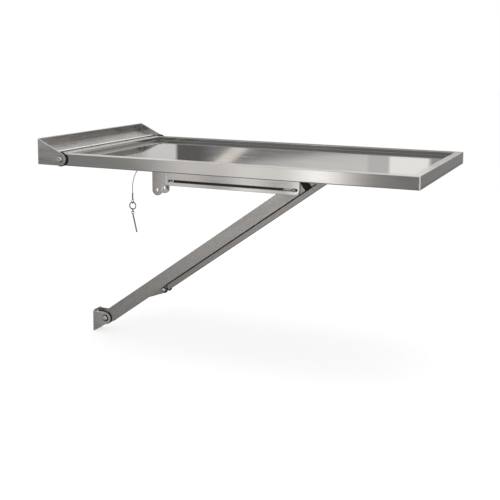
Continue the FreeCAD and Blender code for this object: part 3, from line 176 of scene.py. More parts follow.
def new_material(name: str) -> tuple[bpy.types.Material, Tree]:
    """Make a material with an empty node tree.

    Args:
        name: the material's name.

    Returns:
        The material and its tree.
    """
    made = bpy.data.materials.new(name)
    made.use_nodes = True
    return made, Tree(made.node_tree)


def new_object(name: str, data: bpy.types.ID) -> bpy.types.Object:
    """Make an object and put it in the scene.

    Args:
        name: the object's name.
        data: its mesh, curve, camera or light.

    Returns:
        The object.
    """
    made = bpy.data.objects.new(name, data)
    bpy.context.scene.collection.objects.link(made)
    return made


# ---------------------------------------------------------------- finishes


BEVEL_SAMPLES = 4
FINE = 14.0
SCRATCH_SCALE = 26.0
SCRATCH_DETAIL = 6.0
SCRATCH_DEPTH = 0.1 * MM
SPARK_DEPTH = 0.2 * MM
WIPE_STRETCH = 5.0
WIPE_SCALE = 7.0
WIPE_DETAIL = 4.0
PAN_RELIEF = 0.15
HOLLOW_ROUGHNESS = 0.2
# Painted shade: how much the band round the pan's floor corners is darkened.
CORNER_SHADE = 0.65
# Colour of the painted highlight on the steel's edges.
EDGE_HIGHLIGHT = (0.97, 0.96, 0.94)
ACROSS_THE_GRAIN = 0.25
TANGENT_NUDGE = (0.01, 0.013, 0.02)


class Grain(Enum):
    """Direction that a sheet or section was brushed in: its slope, its turn and its spread.

    The spread is FINE where the scratches run one way only. It is 1 where they run level on every
    side of a bent plate.
    """

    ALONG_X = (0.0, 0.0, FINE)
    ALONG_Y = (0.0, 90.0, FINE)
    LEVEL = (0.0, 45.0, 1.0)
    ALONG_STRUT = (-STRUT_SLOPE, 0.0, FINE)


@dataclass(frozen=True)
class Finish(ABC):
    """A surface's look, built into a material when it is first needed.

    Attributes:
        name: the material's name.
        colour: its colour, or a metal's reflectance.
    """

    name: str
    colour: Point

    def material(self) -> bpy.types.Material:
        """Build the material, or find it if it is built already."""
        made = bpy.data.materials.get(self.name)
        if not made:
            made, tree = new_material(self.name)
            shader = tree.out("ShaderNodeBsdfPrincipled", self.coat(tree))
            tree.add("ShaderNodeOutputMaterial", {"Surface": shader})
        return made

    @abstractmethod
    def coat(self, tree: Tree) -> Inputs:
        """Build what feeds the Principled shader.

        Args:
            tree: the material's tree.

        Returns:
            A socket or a value for the shader's inputs, by name.
        """


@dataclass(frozen=True)
class BrushedSteel(Finish):
    """Brushed stainless steel, with fine scratches along its grain and softened edges.

    Attributes:
        roughness: middle of its roughness.
        grain: direction of the brushing.
        streak: how much the scratches vary the roughness and the tone.
        smudge: how much wiping marks vary them.
        bump: strength of the scratches.
        anisotropy: how far the highlights stretch across the grain.
        edge: radius of the softened edges.
        edge_highlight: how strongly a painted highlight brightens the softened edges.
        pan: box round a smoother pan sunk in the sheet.
        pan_roughness: the pan's roughness.
        corner: low part of the pan, with its corners, and its middle without them; painted shade
            darkens the band between them.
        shade_boxes: boxes, turned as the grain is, where the steel is rougher and painted shade
            darkens it.
        shade_tone: how dark the painted shade is beside the rest.
        painted_light_box: box round a strip with a painted highlight, or with painted shade where
            the gain is below 0.
        painted_light_gain: how much the painted highlight brightens it, and below 0 how much the
            painted shade darkens it.
    """

    roughness: float = 0.3
    grain: Grain = Grain.ALONG_X
    streak: float = 0.08
    smudge: float = 0.16
    bump: float = 0.06
    anisotropy: float = 0.85
    edge: float = 1.2 * MM
    edge_highlight: float = 7.0
    pan: Box | None = None
    pan_roughness: float = 0.035
    corner: tuple[Box, Box] | None = None
    shade_boxes: tuple[Box, ...] = ()
    shade_tone: float = 0.16
    painted_light_box: Box | None = None
    painted_light_gain: float = 0.14

    def coat(self, tree: Tree) -> Inputs:
        """Scratch and wipe the steel, mark its pan, and paint shade and highlights into its boxes,
        pan corners and edges.

        Args:
            tree: the material's tree.

        Returns:
            What feeds the shader.
        """
        pitch, yaw = (math.radians(angle) for angle in self.grain.value[:2])
        spread = self.grain.value[2]
        place = tree.place()
        turned = tree.out("ShaderNodeMapping", {"Vector": place, "Rotation": (0.0, pitch, yaw)},
                          vector_type="TEXTURE")
        scratch = tree.marks(turned, (1.0, spread, FINE), SCRATCH_SCALE, SCRATCH_DETAIL)
        cloud = tree.marks(turned, (1.0, min(spread, WIPE_STRETCH), WIPE_STRETCH), WIPE_SCALE,
                           WIPE_DETAIL)
        rough = tree.lift(scratch, self.streak * 2.0, self.roughness)
        rough = tree.lift(cloud, self.smudge, rough)
        tone = tree.lift(scratch, self.streak * 4.0, 1.0)
        tone = tree.lift(cloud, self.smudge * 2.0, tone)
        relief = self.bump
        if self.pan:
            smooth = tree.within(place, self.pan)
            rough = tree.lift(smooth, self.pan_roughness - self.roughness, rough)
            relief = tree.lift(smooth, (PAN_RELIEF - 1.0) * self.bump, self.bump)
        # Painted shade in the boxes: the tone is darkened and the steel made rougher.
        inside = 0.0
        for box in self.shade_boxes:
            inside = tree.math("MAXIMUM", inside, tree.within(turned, box))
        rough = tree.lift(inside, HOLLOW_ROUGHNESS, rough)
        tone = tree.tint(tone, inside, self.shade_tone - 1.0)
        # Painted shade in the band round the pan's floor corners.
        if self.corner:
            whole, middle = (tree.within(place, box) for box in self.corner)
            grime_and_shade = tree.math("SUBTRACT", whole, middle, clamp=True)
            tone = tree.tint(tone, grime_and_shade, -CORNER_SHADE)
        # Painted highlight on a strip, or painted shade where the gain is below 0.
        if self.painted_light_box:
            tone = tree.tint(tone, tree.within(place, self.painted_light_box), self.painted_light_gain)
        soft = tree.soften(self.edge)
        # Painted highlight on the edges: near-white where the softened normal leaves the true one,
        # dimmed in the boxes of painted shade.
        normal = tree.add("ShaderNodeNewGeometry").outputs["Normal"]
        flat = tree.add("ShaderNodeVectorMath", {0: soft, 1: normal}, operation="DOT_PRODUCT")
        edge_glint = tree.fade(flat.outputs["Value"], -self.edge_highlight, self.edge_highlight)
        edge_glint = tree.tint(edge_glint, inside, self.shade_tone - 1.0)
        level = math.cos(pitch)
        grain = Vector((level * math.cos(yaw), level * math.sin(yaw), -math.sin(pitch)))
        along = (grain + Vector(TANGENT_NUDGE)).normalized()
        return {
            "Metallic": 1.0,
            "Roughness": rough,
            "Base Color": tree.mix(edge_glint, tree.shade(self.colour, tone), EDGE_HIGHLIGHT),
            "Normal": tree.out("ShaderNodeBump", {"Strength": relief, "Distance": SCRATCH_DEPTH,
                                                  "Height": scratch, "Normal": soft}),
            "Anisotropic": self.anisotropy,
            "Anisotropic Rotation": ACROSS_THE_GRAIN,
            "Tangent": tree.out("ShaderNodeVectorTransform", {0: along}, vector_type="VECTOR",
                                convert_from="OBJECT", convert_to="WORLD")}


@dataclass(frozen=True)
class TurnedSteel(Finish):
    """Bright steel of turned and pressed fasteners, wire and rings.

    Attributes:
        roughness: middle of its roughness.
        grime_and_shade: how much dirt darkens it in random patches.
        scale: scale of the patches.
        detail: octaves of the patches.
        edge: radius of the softened edges.
    """

    roughness: float = 0.24
    grime_and_shade: float = 0.25
    scale: float = 160.0
    detail: float = 4.0
    edge: float = 0.3 * MM

    def coat(self, tree: Tree) -> Inputs:
        """Patch the steel with dirt and soften its edges.

        Args:
            tree: the material's tree.

        Returns:
            What feeds the shader.
        """
        patch = tree.noise(tree.place(), self.scale, self.detail)
        tone = tree.lift(patch, -self.grime_and_shade, 1.0 + self.grime_and_shade / 2)
        return {
            "Metallic": 1.0,
            "Roughness": tree.lift(patch, self.grime_and_shade, self.roughness - self.grime_and_shade / 2),
            "Base Color": tree.shade(self.colour, tone),
            "Normal": tree.soften(self.edge)}


@dataclass(frozen=True)
class MouldedPlastic(Finish):
    """Moulded plastic with a fine spark-eroded texture.

    Attributes:
        roughness: middle of its roughness.
        texture: cells of its texture to the metre.
        depth: strength of the texture.
        shine: strength of its reflections.
        spread: how much the cells vary the roughness.
        patch: scale of the wear patches.
        wear: slope and shift of the tone over the patches.
    """

    roughness: float = 0.55
    texture: float = 900.0
    depth: float = 0.3
    shine: float = 0.2
    spread: float = 0.25
    patch: float = 60.0
    wear: Pair = (0.8, 0.6)

    def coat(self, tree: Tree) -> Inputs:
        """Roughen the plastic and wear its tone in patches.

        Args:
            tree: the material's tree.

        Returns:
            What feeds the shader.
        """
        place = tree.place()
        cells = tree.noise(place, self.texture, 2.0)
        tone = tree.lift(tree.noise(place, self.patch, 3.0), *self.wear)
        return {
            "Specular IOR Level": self.shine,
            "Roughness": tree.lift(cells, self.spread, self.roughness - 0.12),
            "Base Color": tree.shade(self.colour, tone),
            "Normal": tree.out("ShaderNodeBump", {"Strength": self.depth, "Height": cells,
                                                  "Distance": SPARK_DEPTH})}


TRAY_PAN = ((0.0, -300.0, -30.0), (1300.0, 300.0, -1.5))
# Band round the pan's floor corners that gets painted shade.
PAN_CORNER = (((80.0, -290.0, -16.0), (1210.0, 290.0, -9.5)),
              ((97.0, -276.0, -16.0), (1190.0, 276.0, -9.5)))
# Front of the back plate above the apron, darkened as painted shade.
PLATE_FRONT = ((2.0, -309.0, 4.0), (4.0, 309.0, 43.4))
# Strip along the rim's lower edge, darkened as painted shade.
RIM_FOOT = ((0.0, -310.0, -38.5), (1300.0, 310.0, -35.6))
# Top of the rim, brightened as a painted highlight.
RIM_FLAT = ((0.0, -310.0, -0.5), (1300.0, 280.0, 0.5))
# Top of the far rim, darkened as painted shade.
FAR_FLAT = ((60.0, 280.0, -1.6), (1193.0, 304.0, 0.5))
# Strip along the gap between strut and latch bar, darkened as painted shade.
STRUT_SEAM = ((-50.0, -40.0, -553.3), (620.0, 40.0, -549.2))
# Inside of the slide rail, darkened as painted shade.
RAIL_INSIDE = ((299.0, -24.4, -125.5), (771.0, 24.4, -39.0))
# Lip of the rail below its slot, brightened as a painted highlight.
RAIL_LIP = ((290.0, -30.0, -128.0), (780.0, 30.0, -115.2))
TRAY_SHEET = BrushedSteel(
    "tray_sheet", (0.62, 0.605, 0.59), roughness=0.2, anisotropy=0.9, streak=0.05, smudge=0.06,
    pan=TRAY_PAN, corner=PAN_CORNER, shade_boxes=(RIM_FOOT, FAR_FLAT), shade_tone=0.5, painted_light_box=RIM_FLAT,
    painted_light_gain=0.3)
BRACKET_SHEET = BrushedSteel(
    "bracket_sheet", (0.56, 0.545, 0.535), grain=Grain.ALONG_Y, streak=0.12, smudge=0.26,
    edge=2.0 * MM)
PLATE_SHEET = BrushedSteel(
    "plate_sheet", (0.6, 0.58, 0.565), grain=Grain.LEVEL, streak=0.12, smudge=0.26,
    edge=2.2 * MM, painted_light_box=PLATE_FRONT, painted_light_gain=-0.42)
RAIL_SECTION = BrushedSteel(
    "rail_section", (0.46, 0.447, 0.438), roughness=0.13, edge=2.6 * MM, shade_boxes=(RAIL_INSIDE,),
    painted_light_box=RAIL_LIP)
STRUT_SECTION = BrushedSteel(
    "strut_section", (0.49, 0.475, 0.46), grain=Grain.ALONG_STRUT, streak=0.14, smudge=0.22,
    edge=2.6 * MM, shade_boxes=(STRUT_SEAM,), shade_tone=0.2)
LATCH_SECTION = BrushedSteel(
    "latch_section", (0.39, 0.375, 0.36), grain=Grain.ALONG_STRUT, edge_highlight=0.0,
    shade_boxes=(STRUT_SEAM,), shade_tone=0.2)
BRIGHT_HARDWARE = TurnedSteel("bright_hardware", (0.66, 0.65, 0.64))
WELD_BEAD = TurnedSteel("weld_bead", (0.5, 0.47, 0.43), roughness=0.34, grime_and_shade=0.35, scale=260.0)
# The hem's near-white colour is a painted highlight along the apron's front edge.
ROLLED_EDGE_HIGHLIGHT = TurnedSteel("rolled_edge", (0.95, 0.94, 0.92), roughness=0.14, grime_and_shade=0.08)
POLISHED_WELD = TurnedSteel("polished_weld", (0.93, 0.92, 0.9), roughness=0.2, grime_and_shade=0.12)
ROPE_WIRE = TurnedSteel("rope_wire", (0.27, 0.265, 0.26), roughness=0.4)
SPRING_WIRE = TurnedSteel("spring_wire", (0.42, 0.41, 0.4), roughness=0.3)
PIN_WIRE = TurnedSteel("pin_wire", (0.25, 0.243, 0.237), roughness=0.26)
BLACK_PLASTIC = MouldedPlastic("black_plastic", (0.013, 0.013, 0.014))
NYLON = MouldedPlastic("nylon_insert", (0.55, 0.56, 0.54), roughness=0.45, texture=500.0)


# ---------------------------------------------------------------- studio


WARM = (1.0, 0.985, 0.965)


@dataclass
class Camera:
    """The camera, above the table's front end and looking back along it.

    Attributes:
        place: its place, in metres.
        yaw: turn to the left of +Y, in radians.
        pitch: look down, in radians.
        roll: turn about its own axis, in radians.
        focal: focal length in pixels of the frame.
        centre: where its axis meets the frame, in pixels.
        frame: width of the frame in pixels.
        sensor: width of the sensor in millimetres.
        reach: nearest and farthest distance that it sees, in metres.
    """

    place: Point = (1.738626, -2.559525, 0.335367)
    yaw: float = 0.387
    pitch: float = 0.117
    roll: float = 0.009
    focal: float = 877.214
    centre: Pair = (280.0, 150.0)
    frame: float = 500.0
    sensor: float = 36.0
    reach: Pair = (0.05, 60.0)

    def build(self) -> None:
        """Make the camera and look through it."""
        data = bpy.data.cameras.new("camera")
        camera = new_object("camera", data)
        data.sensor_width = self.sensor
        data.lens = self.focal * self.sensor / self.frame
        data.shift_x = (self.frame / 2 - self.centre[0]) / self.frame
        data.shift_y = (self.centre[1] - self.frame / 2) / self.frame
        data.clip_start, data.clip_end = self.reach
        placed = Matrix.Translation(self.place)
        for angle, axis in ((self.yaw, "Z"), (math.pi / 2 - self.pitch, "X"), (self.roll, "Z")):
            placed = placed @ Matrix.Rotation(angle, 4, axis)
        camera.matrix_world = placed
        bpy.context.scene.camera = camera


@dataclass(frozen=True)
class Card:
    """A wall, a softbox or a flag of the studio that shows in the steel.

    Attributes:
        name: what it is.
        start: where it begins, in degrees from the Y axis towards the wall.
        tone: its brightness.
        soft: how wide its first edge fades, in degrees.
    """

    name: str
    start: float
    tone: float
    soft: float = 1.0


@dataclass
class Studio:
    """White floor, white surroundings and the cards that the steel mirrors.

    The cards stand in rows round the horizon, each in front of the one before it. The far side
    (+Y) has one row up to a slanting line some 7 degrees above the horizon, and another over it.
    The near side (-Y) has one row.

    Each pair of numbers is the slope and the shift of a fade, over the height or along the
    horizon. Each lamp has a name, a place, a size and a power.
    """

    floor_height: float = -0.6655
    floor_size: float = 40.0
    floor_tone: float = 0.33
    floor_glow: float = 0.71
    near_row: tuple[Card, ...] = (
        Card("open end", -90.0, 1.8),
        Card("dull wall", -53.0, 0.7, soft=10.0),
        Card("left flag", 5.5, 0.21, soft=9.0),
        Card("key softbox", 18.2, 2.5, soft=1.8),
        Card("frame between softboxes", 20.9, 0.7, soft=1.6),
        Card("second softbox", 23.4, 1.6),
        Card("second frame", 25.2, 0.66, soft=1.4),
        Card("fill card", 27.6, 1.2, soft=1.4),
        Card("right flag", 30.0, 0.27, soft=1.4),
        Card("room", 46.0, 0.8, soft=8.0))
    far_low_row: tuple[Card, ...] = (
        Card("pale wall", -90.0, 0.85),
        Card("dark doorway", -47.5, 0.13, soft=9.0),
        Card("bench", -18.0, 0.28, soft=14.0),
        Card("end of the bench", 14.0, 0.2, soft=14.0),
        Card("dark stand", 26.9, 0.115),
        Card("white card", 28.95, 0.68, soft=0.2),
        Card("grey wall", 31.0, 0.44, soft=0.8),
        Card("room", 46.0, 0.8, soft=8.0))
    far_high_row: tuple[Card, ...] = (
        Card("pale wall", -90.0, 0.85),
        Card("grey curtain", -38.0, 0.35, soft=36.0),
        Card("window", 12.4, 0.95, soft=0.3),
        Card("window post", 15.0, 0.55, soft=0.2),
        Card("blind", 16.4, 0.66, soft=0.2),
        Card("grey wall", 22.5, 0.5, soft=5.0),
        Card("dark stand", 25.4, 0.16, soft=3.0),
        Card("white card", 28.85, 0.72, soft=0.2))
    far_line: Pair = (0.11, 0.0843)
    far_line_edge: Pair = (220.0, 0.5)
    far_top: Pair = (8.0, -1.4)
    far_top_tone: float = 0.9
    near_high: Pair = (25.0, -1.2)
    near_high_tone: float = 0.22
    near_top: Pair = (12.0, -2.2)
    near_top_tone: float = 0.72
    side_edge: Pair = (8.0, 0.5)
    streak: Point = (0.82, 0.765, 0.71)
    streak_lean: Pair = (-1.234, -0.2915)
    streak_edge: Pair = (-250.0, 3.1)
    low: Pair = (-5.0, -1.4)
    low_tone: float = 0.22
    high: Pair = (4.0, -2.0)
    high_tone: float = 0.95
    lamps: tuple[tuple[str, Point, float, float], ...] = (
        ("overhead", (0.7, -0.4, 2.6), 2.4, 60.0),
        ("near_fill", (1.4, -2.4, 1.6), 1.6, 18.0))
    aim: Point = (0.5, 0.0, -0.4)

    def surroundings(self) -> None:
        """Build the world: white to the eye, and tones of grey to the steel."""
        world = bpy.data.worlds.new("studio")
        bpy.context.scene.world = world
        world.use_nodes = True
        tree = Tree(world.node_tree)
        across, along, up = tree.add("ShaderNodeSeparateXYZ", {0: tree.place("Generated")}).outputs
        angle = tree.math("ARCTAN2", tree.math("MULTIPLY", across, -1.0),
                          tree.math("ABSOLUTE", along))
        over = tree.math("SUBTRACT", up, tree.lift(angle, *self.far_line))
        far = tree.mix(tree.fade(over, *self.far_line_edge),
                       self.stand(tree, angle, self.far_low_row),
                       self.stand(tree, angle, self.far_high_row))
        aside = tree.math("ABSOLUTE", tree.math("ADD", angle, tree.lift(up, *self.streak_lean)))
        far = tree.mix(tree.fade(aside, *self.streak_edge), far, self.streak)
        far = tree.mix(tree.fade(up, *self.far_top), far,
                       tuple(self.far_top_tone * part for part in WARM))
        near = self.stand(tree, angle, self.near_row)
        for edge, tone in ((self.near_high, self.near_high_tone),
                           (self.near_top, self.near_top_tone)):
            near = tree.mix(tree.fade(up, *edge), near, (tone,) * 3)
        whole = tree.mix(tree.fade(along, *self.side_edge), near, far)
        for edge, tone in ((self.low, self.low_tone), (self.high, self.high_tone)):
            whole = tree.mix(tree.fade(up, *edge), whole, (tone,) * 3)
        choose = tree.out("ShaderNodeMixShader", {
            0: tree.add("ShaderNodeLightPath").outputs["Is Camera Ray"],
            1: tree.out("ShaderNodeBackground", {"Color": whole}),
            2: tree.out("ShaderNodeBackground", {"Color": (1.0, 1.0, 1.0)})})
        tree.add("ShaderNodeOutputWorld", {0: choose})

    @staticmethod
    def stand(tree: Tree, angle: Socket, row: tuple[Card, ...]) -> Socket:
        """Stand a row of cards round the horizon.

        Args:
            tree: the tree to add it to.
            angle: angle from the Y axis towards the wall, in radians.
            row: the cards, by their starts.

        Returns:
            The socket of the tone seen at the angle.
        """
        seen = (row[0].tone,) * 3
        for card in row[1:]:
            cover = tree.fade(angle, math.degrees(1.0) / card.soft, 0.5 - card.start / card.soft)
            seen = tree.mix(cover, seen, (card.tone,) * 3)
        return tree.mix(1.0, seen, WARM, blend="MULTIPLY")

    def floor(self) -> None:
        """Lay the white floor that takes the faint contact shadow."""
        half = self.floor_size / 2
        mesh = bpy.data.meshes.new("floor")
        corners = [(-half, -half), (half, -half), (half, half), (-half, half)]
        mesh.from_pydata([(x, y, self.floor_height) for x, y in corners], [], [(0, 1, 2, 3)])
        made, tree = new_material("floor_white")
        both = tree.out("ShaderNodeAddShader", {
            0: tree.out("ShaderNodeBsdfDiffuse", {"Color": (self.floor_tone,) * 3}),
            1: tree.out("ShaderNodeEmission", {"Strength": self.floor_glow})})
        tree.add("ShaderNodeOutputMaterial", {"Surface": both})
        mesh.materials.append(made)
        floor = new_object("floor", mesh)
        floor.visible_glossy = False

    def hang(self) -> None:
        """Hang the lamps overhead."""
        for name, place, size, power in self.lamps:
            data = bpy.data.lights.new(name, "AREA")
            data.size = size
            data.energy = power
            lamp = new_object(name, data)
            lamp.location = place
            way = Vector(self.aim) - Vector(place)
            lamp.rotation_euler = way.to_track_quat("-Z", "Y").to_euler()
            lamp.visible_glossy = False

    def build(self) -> None:
        """Make the whole studio."""
        self.surroundings()
        self.floor()
        self.hang()
        bpy.context.scene.view_settings.view_transform = "Standard"


# ---------------------------------------------------------------- making and dressing


def new_piece(name: str, mesh: bpy.types.Mesh, finish: Finish, body: str) -> bpy.types.Object:
    """Make an object of a mesh, finish it and let it ride on a body.

    Args:
        name: the piece's name.
        mesh: its mesh, in its place.
        finish: its finish.
        body: the body that it moves with.

    Returns:
        The piece.
    """
    piece = new_object(name, mesh)
    mesh.materials.clear()
    mesh.materials.append(finish.material())
    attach(piece, body)
    LOG.info("%s on %s: %d faces", name, body, len(mesh.polygons))
    return piece


def dress(nodes: Nodes, finish: Finish, *names: str) -> None:
    """Give nodes a finish.

    Args:
        nodes: the frame's nodes by name.
        finish: the finish to build.
        names: the nodes to dress.
    """
    for name in names:
        for slot in nodes[name].material_slots:
            slot.material = finish.material()
    LOG.info("%s: %s", finish.name, ", ".join(names))


def evaluated(holder: bpy.types.Object) -> bpy.types.Mesh:
    """Read the mesh that an object's curve or modifiers make."""
    graph = bpy.context.evaluated_depsgraph_get()
    return bpy.data.meshes.new_from_object(holder.evaluated_get(graph))


def round_angles(count: int) -> list[float]:
    """Angles of evenly spaced points round a circle, in radians."""
    return [2.0 * math.pi * index / count for index in range(count)]


def follow(points: list[Vector], closed: bool = False) -> list[tuple[Vector, Vector, Vector]]:
    """Carry a steady pair of side directions along a line.

    Args:
        points: the line.
        closed: whether the last point joins the first.

    Returns:
        Each point's tangent and two side directions.
    """
    count = len(points)
    frames = []
    side = None
    for index in range(count):
        before = points[index - 1] if closed or index else points[0]
        after = points[(index + 1) % count] if closed or index < count - 1 else points[-1]
        tangent = (after - before).normalized()
        if side is None:
            side = tangent.orthogonal().normalized()
        side = (side - tangent * side.dot(tangent)).normalized()
        frames.append((tangent, side, tangent.cross(side)))
    return frames


def skinned(rings: list[list[Vector]], closed: bool = False) -> Shell:
    """Lay a skin over a row of rings.

    Args:
        rings: the corners of each ring, turning right-handed about the row's direction.
        closed: whether the last ring joins the first. If not, both ends are capped.

    Returns:
        The skin's vertices and faces.
    """
    corners = len(rings[0])
    count = len(rings)
    faces = []
    for ring in range(count if closed else count - 1):
        start = ring * corners
        onward = ((ring + 1) % count) * corners
        for corner in range(corners):
            beside = (corner + 1) % corners
            faces.append((start + corner, start + beside, onward + beside, onward + corner))
    if not closed:
        faces.append(tuple(reversed(range(corners))))
        last = (count - 1) * corners
        faces.append(tuple(range(last, last + corners)))
    return [vertex for ring in rings for vertex in ring], faces


def sweep(points: list[Vector], radius: float, corners: int = 8, closed: bool = False) -> Shell:
    """Sweep a round section along a line.

    Args:
        points: the line.
        radius: the section's radius.
        corners: corners of the section.
        closed: whether the line is a loop.

    Returns:
        The vertices and faces of the tube.
    """
    rings = [[point + side * radius * math.cos(angle) + other * radius * math.sin(angle)
              for angle in round_angles(corners)]
             for point, (_, side, other) in zip(points, follow(points, closed))]
    return skinned(rings, closed)


def joined(name: str, shells: list[Shell], finish: Finish, body: str) -> bpy.types.Object:
    """Join shells into one smooth piece.

    Args:
        name: the piece's name.
        shells: vertices and faces of each shell.
        finish: the piece's finish.
        body: the body that it moves with.

    Returns:
        The piece.
    """
    vertices = []
    faces = []
    for corners, sides in shells:
        base = len(vertices)
        vertices += corners
        faces += [tuple(base + index for index in side) for side in sides]
    mesh = bpy.data.meshes.new(name)
    mesh.from_pydata(vertices, [], faces)
    mesh.shade_smooth()
    return new_piece(name, mesh, finish, body)


STRAND_CORNERS = 6
STRAND_PRESS = 1.08


def stranded(points: list[Vector], radius: float, strands: int, lay: float,
             closed: bool = False) -> list[Shell]:
    """Lay strands of rope round a line.

    Args:
        points: the line, in even steps.
        radius: the rope's radius.
        strands: how many strands lie round the core.
        lay: length of one turn of a strand.
        closed: whether the line is a loop.

    Returns:
        A shell for the core and for each strand.
    """
    thin = radius / 3.0
    reach = radius - thin
    frames = follow(points, closed)
    turns = len(points) * (points[1] - points[0]).length / lay
    if closed:
        first, last = frames[0], frames[-1]
        drift = math.copysign(last[1].angle(first[1]), last[1].cross(first[1]).dot(first[0]))
        turns = round(turns) + drift / (2.0 * math.pi)
    shells = [sweep(points, thin, STRAND_CORNERS, closed)]
    for start in round_angles(strands):
        line = []
        for index, (point, (_, side, other)) in enumerate(zip(points, frames)):
            angle = start + 2.0 * math.pi * turns * index / len(points)
            line.append(point + side * reach * math.cos(angle) + other * reach * math.sin(angle))
        shells.append(sweep(line, thin * STRAND_PRESS, STRAND_CORNERS, closed))
    return shells


class Recipe:
    """A Geometry Nodes tree with named inputs, made into plain meshes."""

    def __init__(self, name: str) -> None:
        """Start an empty tree of a name."""
        self.group = bpy.data.node_groups.new(name, "GeometryNodeTree")
        self.tree = Tree(self.group)
        for way in ("INPUT", "OUTPUT"):
            self.group.interface.new_socket("Geometry", in_out=way,
                                            socket_type="NodeSocketGeometry")
        self.start = self.tree.add("NodeGroupInput")

    def named(self, name: str, kind: str = "NodeSocketFloat") -> Socket:
        """Add a named input and return its socket inside the tree."""
        self.group.interface.new_socket(name, in_out="INPUT", socket_type=kind)
        return self.start.outputs[name]

    def end(self, geometry: Socket) -> None:
        """Close the tree with Realize Instances and Set Material.

        Args:
            geometry: what the tree makes.
        """
        real = self.tree.out("GeometryNodeRealizeInstances", {0: geometry})
        finish = self.named("Finish", "NodeSocketMaterial")
        coat = self.tree.out("GeometryNodeSetMaterial", {"Geometry": real, "Material": finish})
        smooth = self.tree.out("GeometryNodeSetShadeSmooth", {"Geometry": coat})
        self.tree.add("NodeGroupOutput", {0: smooth})

    def make(self, name: str, base: bpy.types.Mesh, finish: Finish, body: str,
             **values: float) -> bpy.types.Object:
        """Run the tree on a base mesh, and make a piece of the result.

        Args:
            name: the piece's name.
            base: the mesh that the tree starts from.
            finish: the piece's finish.
            body: the body that it moves with.
            values: the named inputs.

        Returns:
            The piece, which has a plain mesh.
        """
        holder = new_object(name + "_base", base)
        modifier = holder.modifiers.new("recipe", "NODES")
        modifier.node_group = self.group
        wanted = {key.capitalize(): value for key, value in values.items()}
        wanted["Finish"] = finish.material()
        for item in self.group.interface.items_tree:
            if item.in_out == "INPUT" and item.name in wanted:
                modifier[item.identifier] = wanted[item.name]
        mesh = evaluated(holder)
        mesh.name = name
        holder.modifiers.remove(modifier)
        bpy.data.objects.remove(holder)
        return new_piece(name, mesh, finish, body)


BEAD_DETAIL = 2
BEAD_UNEVEN = (0.88, 1.08)
BEAD_SEED = 7
BEAD_OVERLAP = 1.1
RING_CORNERS = 28
CREST_CORNERS = 6


def bead_recipe() -> Recipe:
    """Make the tree that lays ripples of weld metal along edges."""
    recipe = Recipe("weld_bead_recipe")
    tree = recipe.tree
    ripple = recipe.named("Ripple")
    width = recipe.named("Width")
    line = tree.out("GeometryNodeMeshToCurve", {"Mesh": recipe.start.outputs["Geometry"]})
    spots = tree.add("GeometryNodeCurveToPoints", {"Curve": line, "Length": ripple}, mode="LENGTH")
    drop = tree.out("GeometryNodeMeshIcoSphere", {"Radius": 1.0, "Subdivisions": BEAD_DETAIL})
    least, most = BEAD_UNEVEN
    uneven = tree.add("FunctionNodeRandomValue", {2: least, 3: most, "Seed": BEAD_SEED},
                      data_type="FLOAT").outputs[1]
    half = tree.math("MULTIPLY", tree.math("MULTIPLY", width, 0.5), uneven)
    size = tree.out("ShaderNodeCombineXYZ",
                    {0: half, 1: half, 2: tree.math("MULTIPLY", ripple, BEAD_OVERLAP)})
    recipe.end(tree.out("GeometryNodeInstanceOnPoints", {
        "Points": spots.outputs["Points"], "Instance": drop,
        "Rotation": spots.outputs["Rotation"], "Scale": size}))
    return recipe


def thread_recipe() -> Recipe:
    """Make the tree that puts thread crests round shanks.

    The shanks stand at points, and each point's axis is the way out along its shank.
    """
    recipe = Recipe("thread_recipe")
    tree = recipe.tree
    circle, crest = (
        tree.out("GeometryNodeCurvePrimitiveCircle",
                 {"Resolution": corners, "Radius": recipe.named(name)}, mode="RADIUS")
        for name, corners in (("Radius", RING_CORNERS), ("Thickness", CREST_CORNERS)))
    ring = tree.out("GeometryNodeCurveToMesh", {"Curve": circle, "Profile Curve": crest})
    rise = tree.out("ShaderNodeCombineXYZ", {2: recipe.named("Pitch")})
    row = tree.out("GeometryNodeMeshLine",
                   {"Count": recipe.named("Turns", "NodeSocketInt"), "Offset": rise},
                   mode="OFFSET")
    stack = tree.out("GeometryNodeInstanceOnPoints", {"Points": row, "Instance": ring})
    way = tree.out("GeometryNodeInputNamedAttribute", {"Name": "axis"}, data_type="FLOAT_VECTOR")
    aim = tree.out("FunctionNodeAlignEulerToVector", {"Vector": way}, axis="Z")
    recipe.end(tree.out("GeometryNodeInstanceOnPoints", {
        "Points": recipe.start.outputs["Geometry"], "Instance": stack, "Rotation": aim}))
    return recipe


def edge_mesh(name: str, seams: list[Seam]) -> bpy.types.Mesh:
    """Make a mesh of edges along seams.

    Args:
        name: the mesh's name.
        seams: the corners of each seam, in millimetres.

    Returns:
        The mesh, in metres.
    """
    vertices = []
    edges = []
    for seam in seams:
        base = len(vertices)
        vertices += [tuple(part * MM for part in corner) for corner in seam]
        edges += [(base + index, base + index + 1) for index in range(len(seam) - 1)]
    mesh = bpy.data.meshes.new(name)
    mesh.from_pydata(vertices, edges, [])
    return mesh


def point_mesh(name: str, places: list[tuple[Point, Point]]) -> bpy.types.Mesh:
    """Make a mesh of points with an axis each.

    Args:
        name: the mesh's name.
        places: points in millimetres with their directions.

    Returns:
        The mesh, in metres.
    """
    mesh = bpy.data.meshes.new(name)
    mesh.from_pydata([tuple(part * MM for part in place) for place, _ in places], [], [])
    axis = mesh.attributes.new("axis", "FLOAT_VECTOR", "POINT")
    for index, (_, way) in enumerate(places):
        axis.data[index].vector = way
    return mesh


# ---------------------------------------------------------------- sub-assemblies


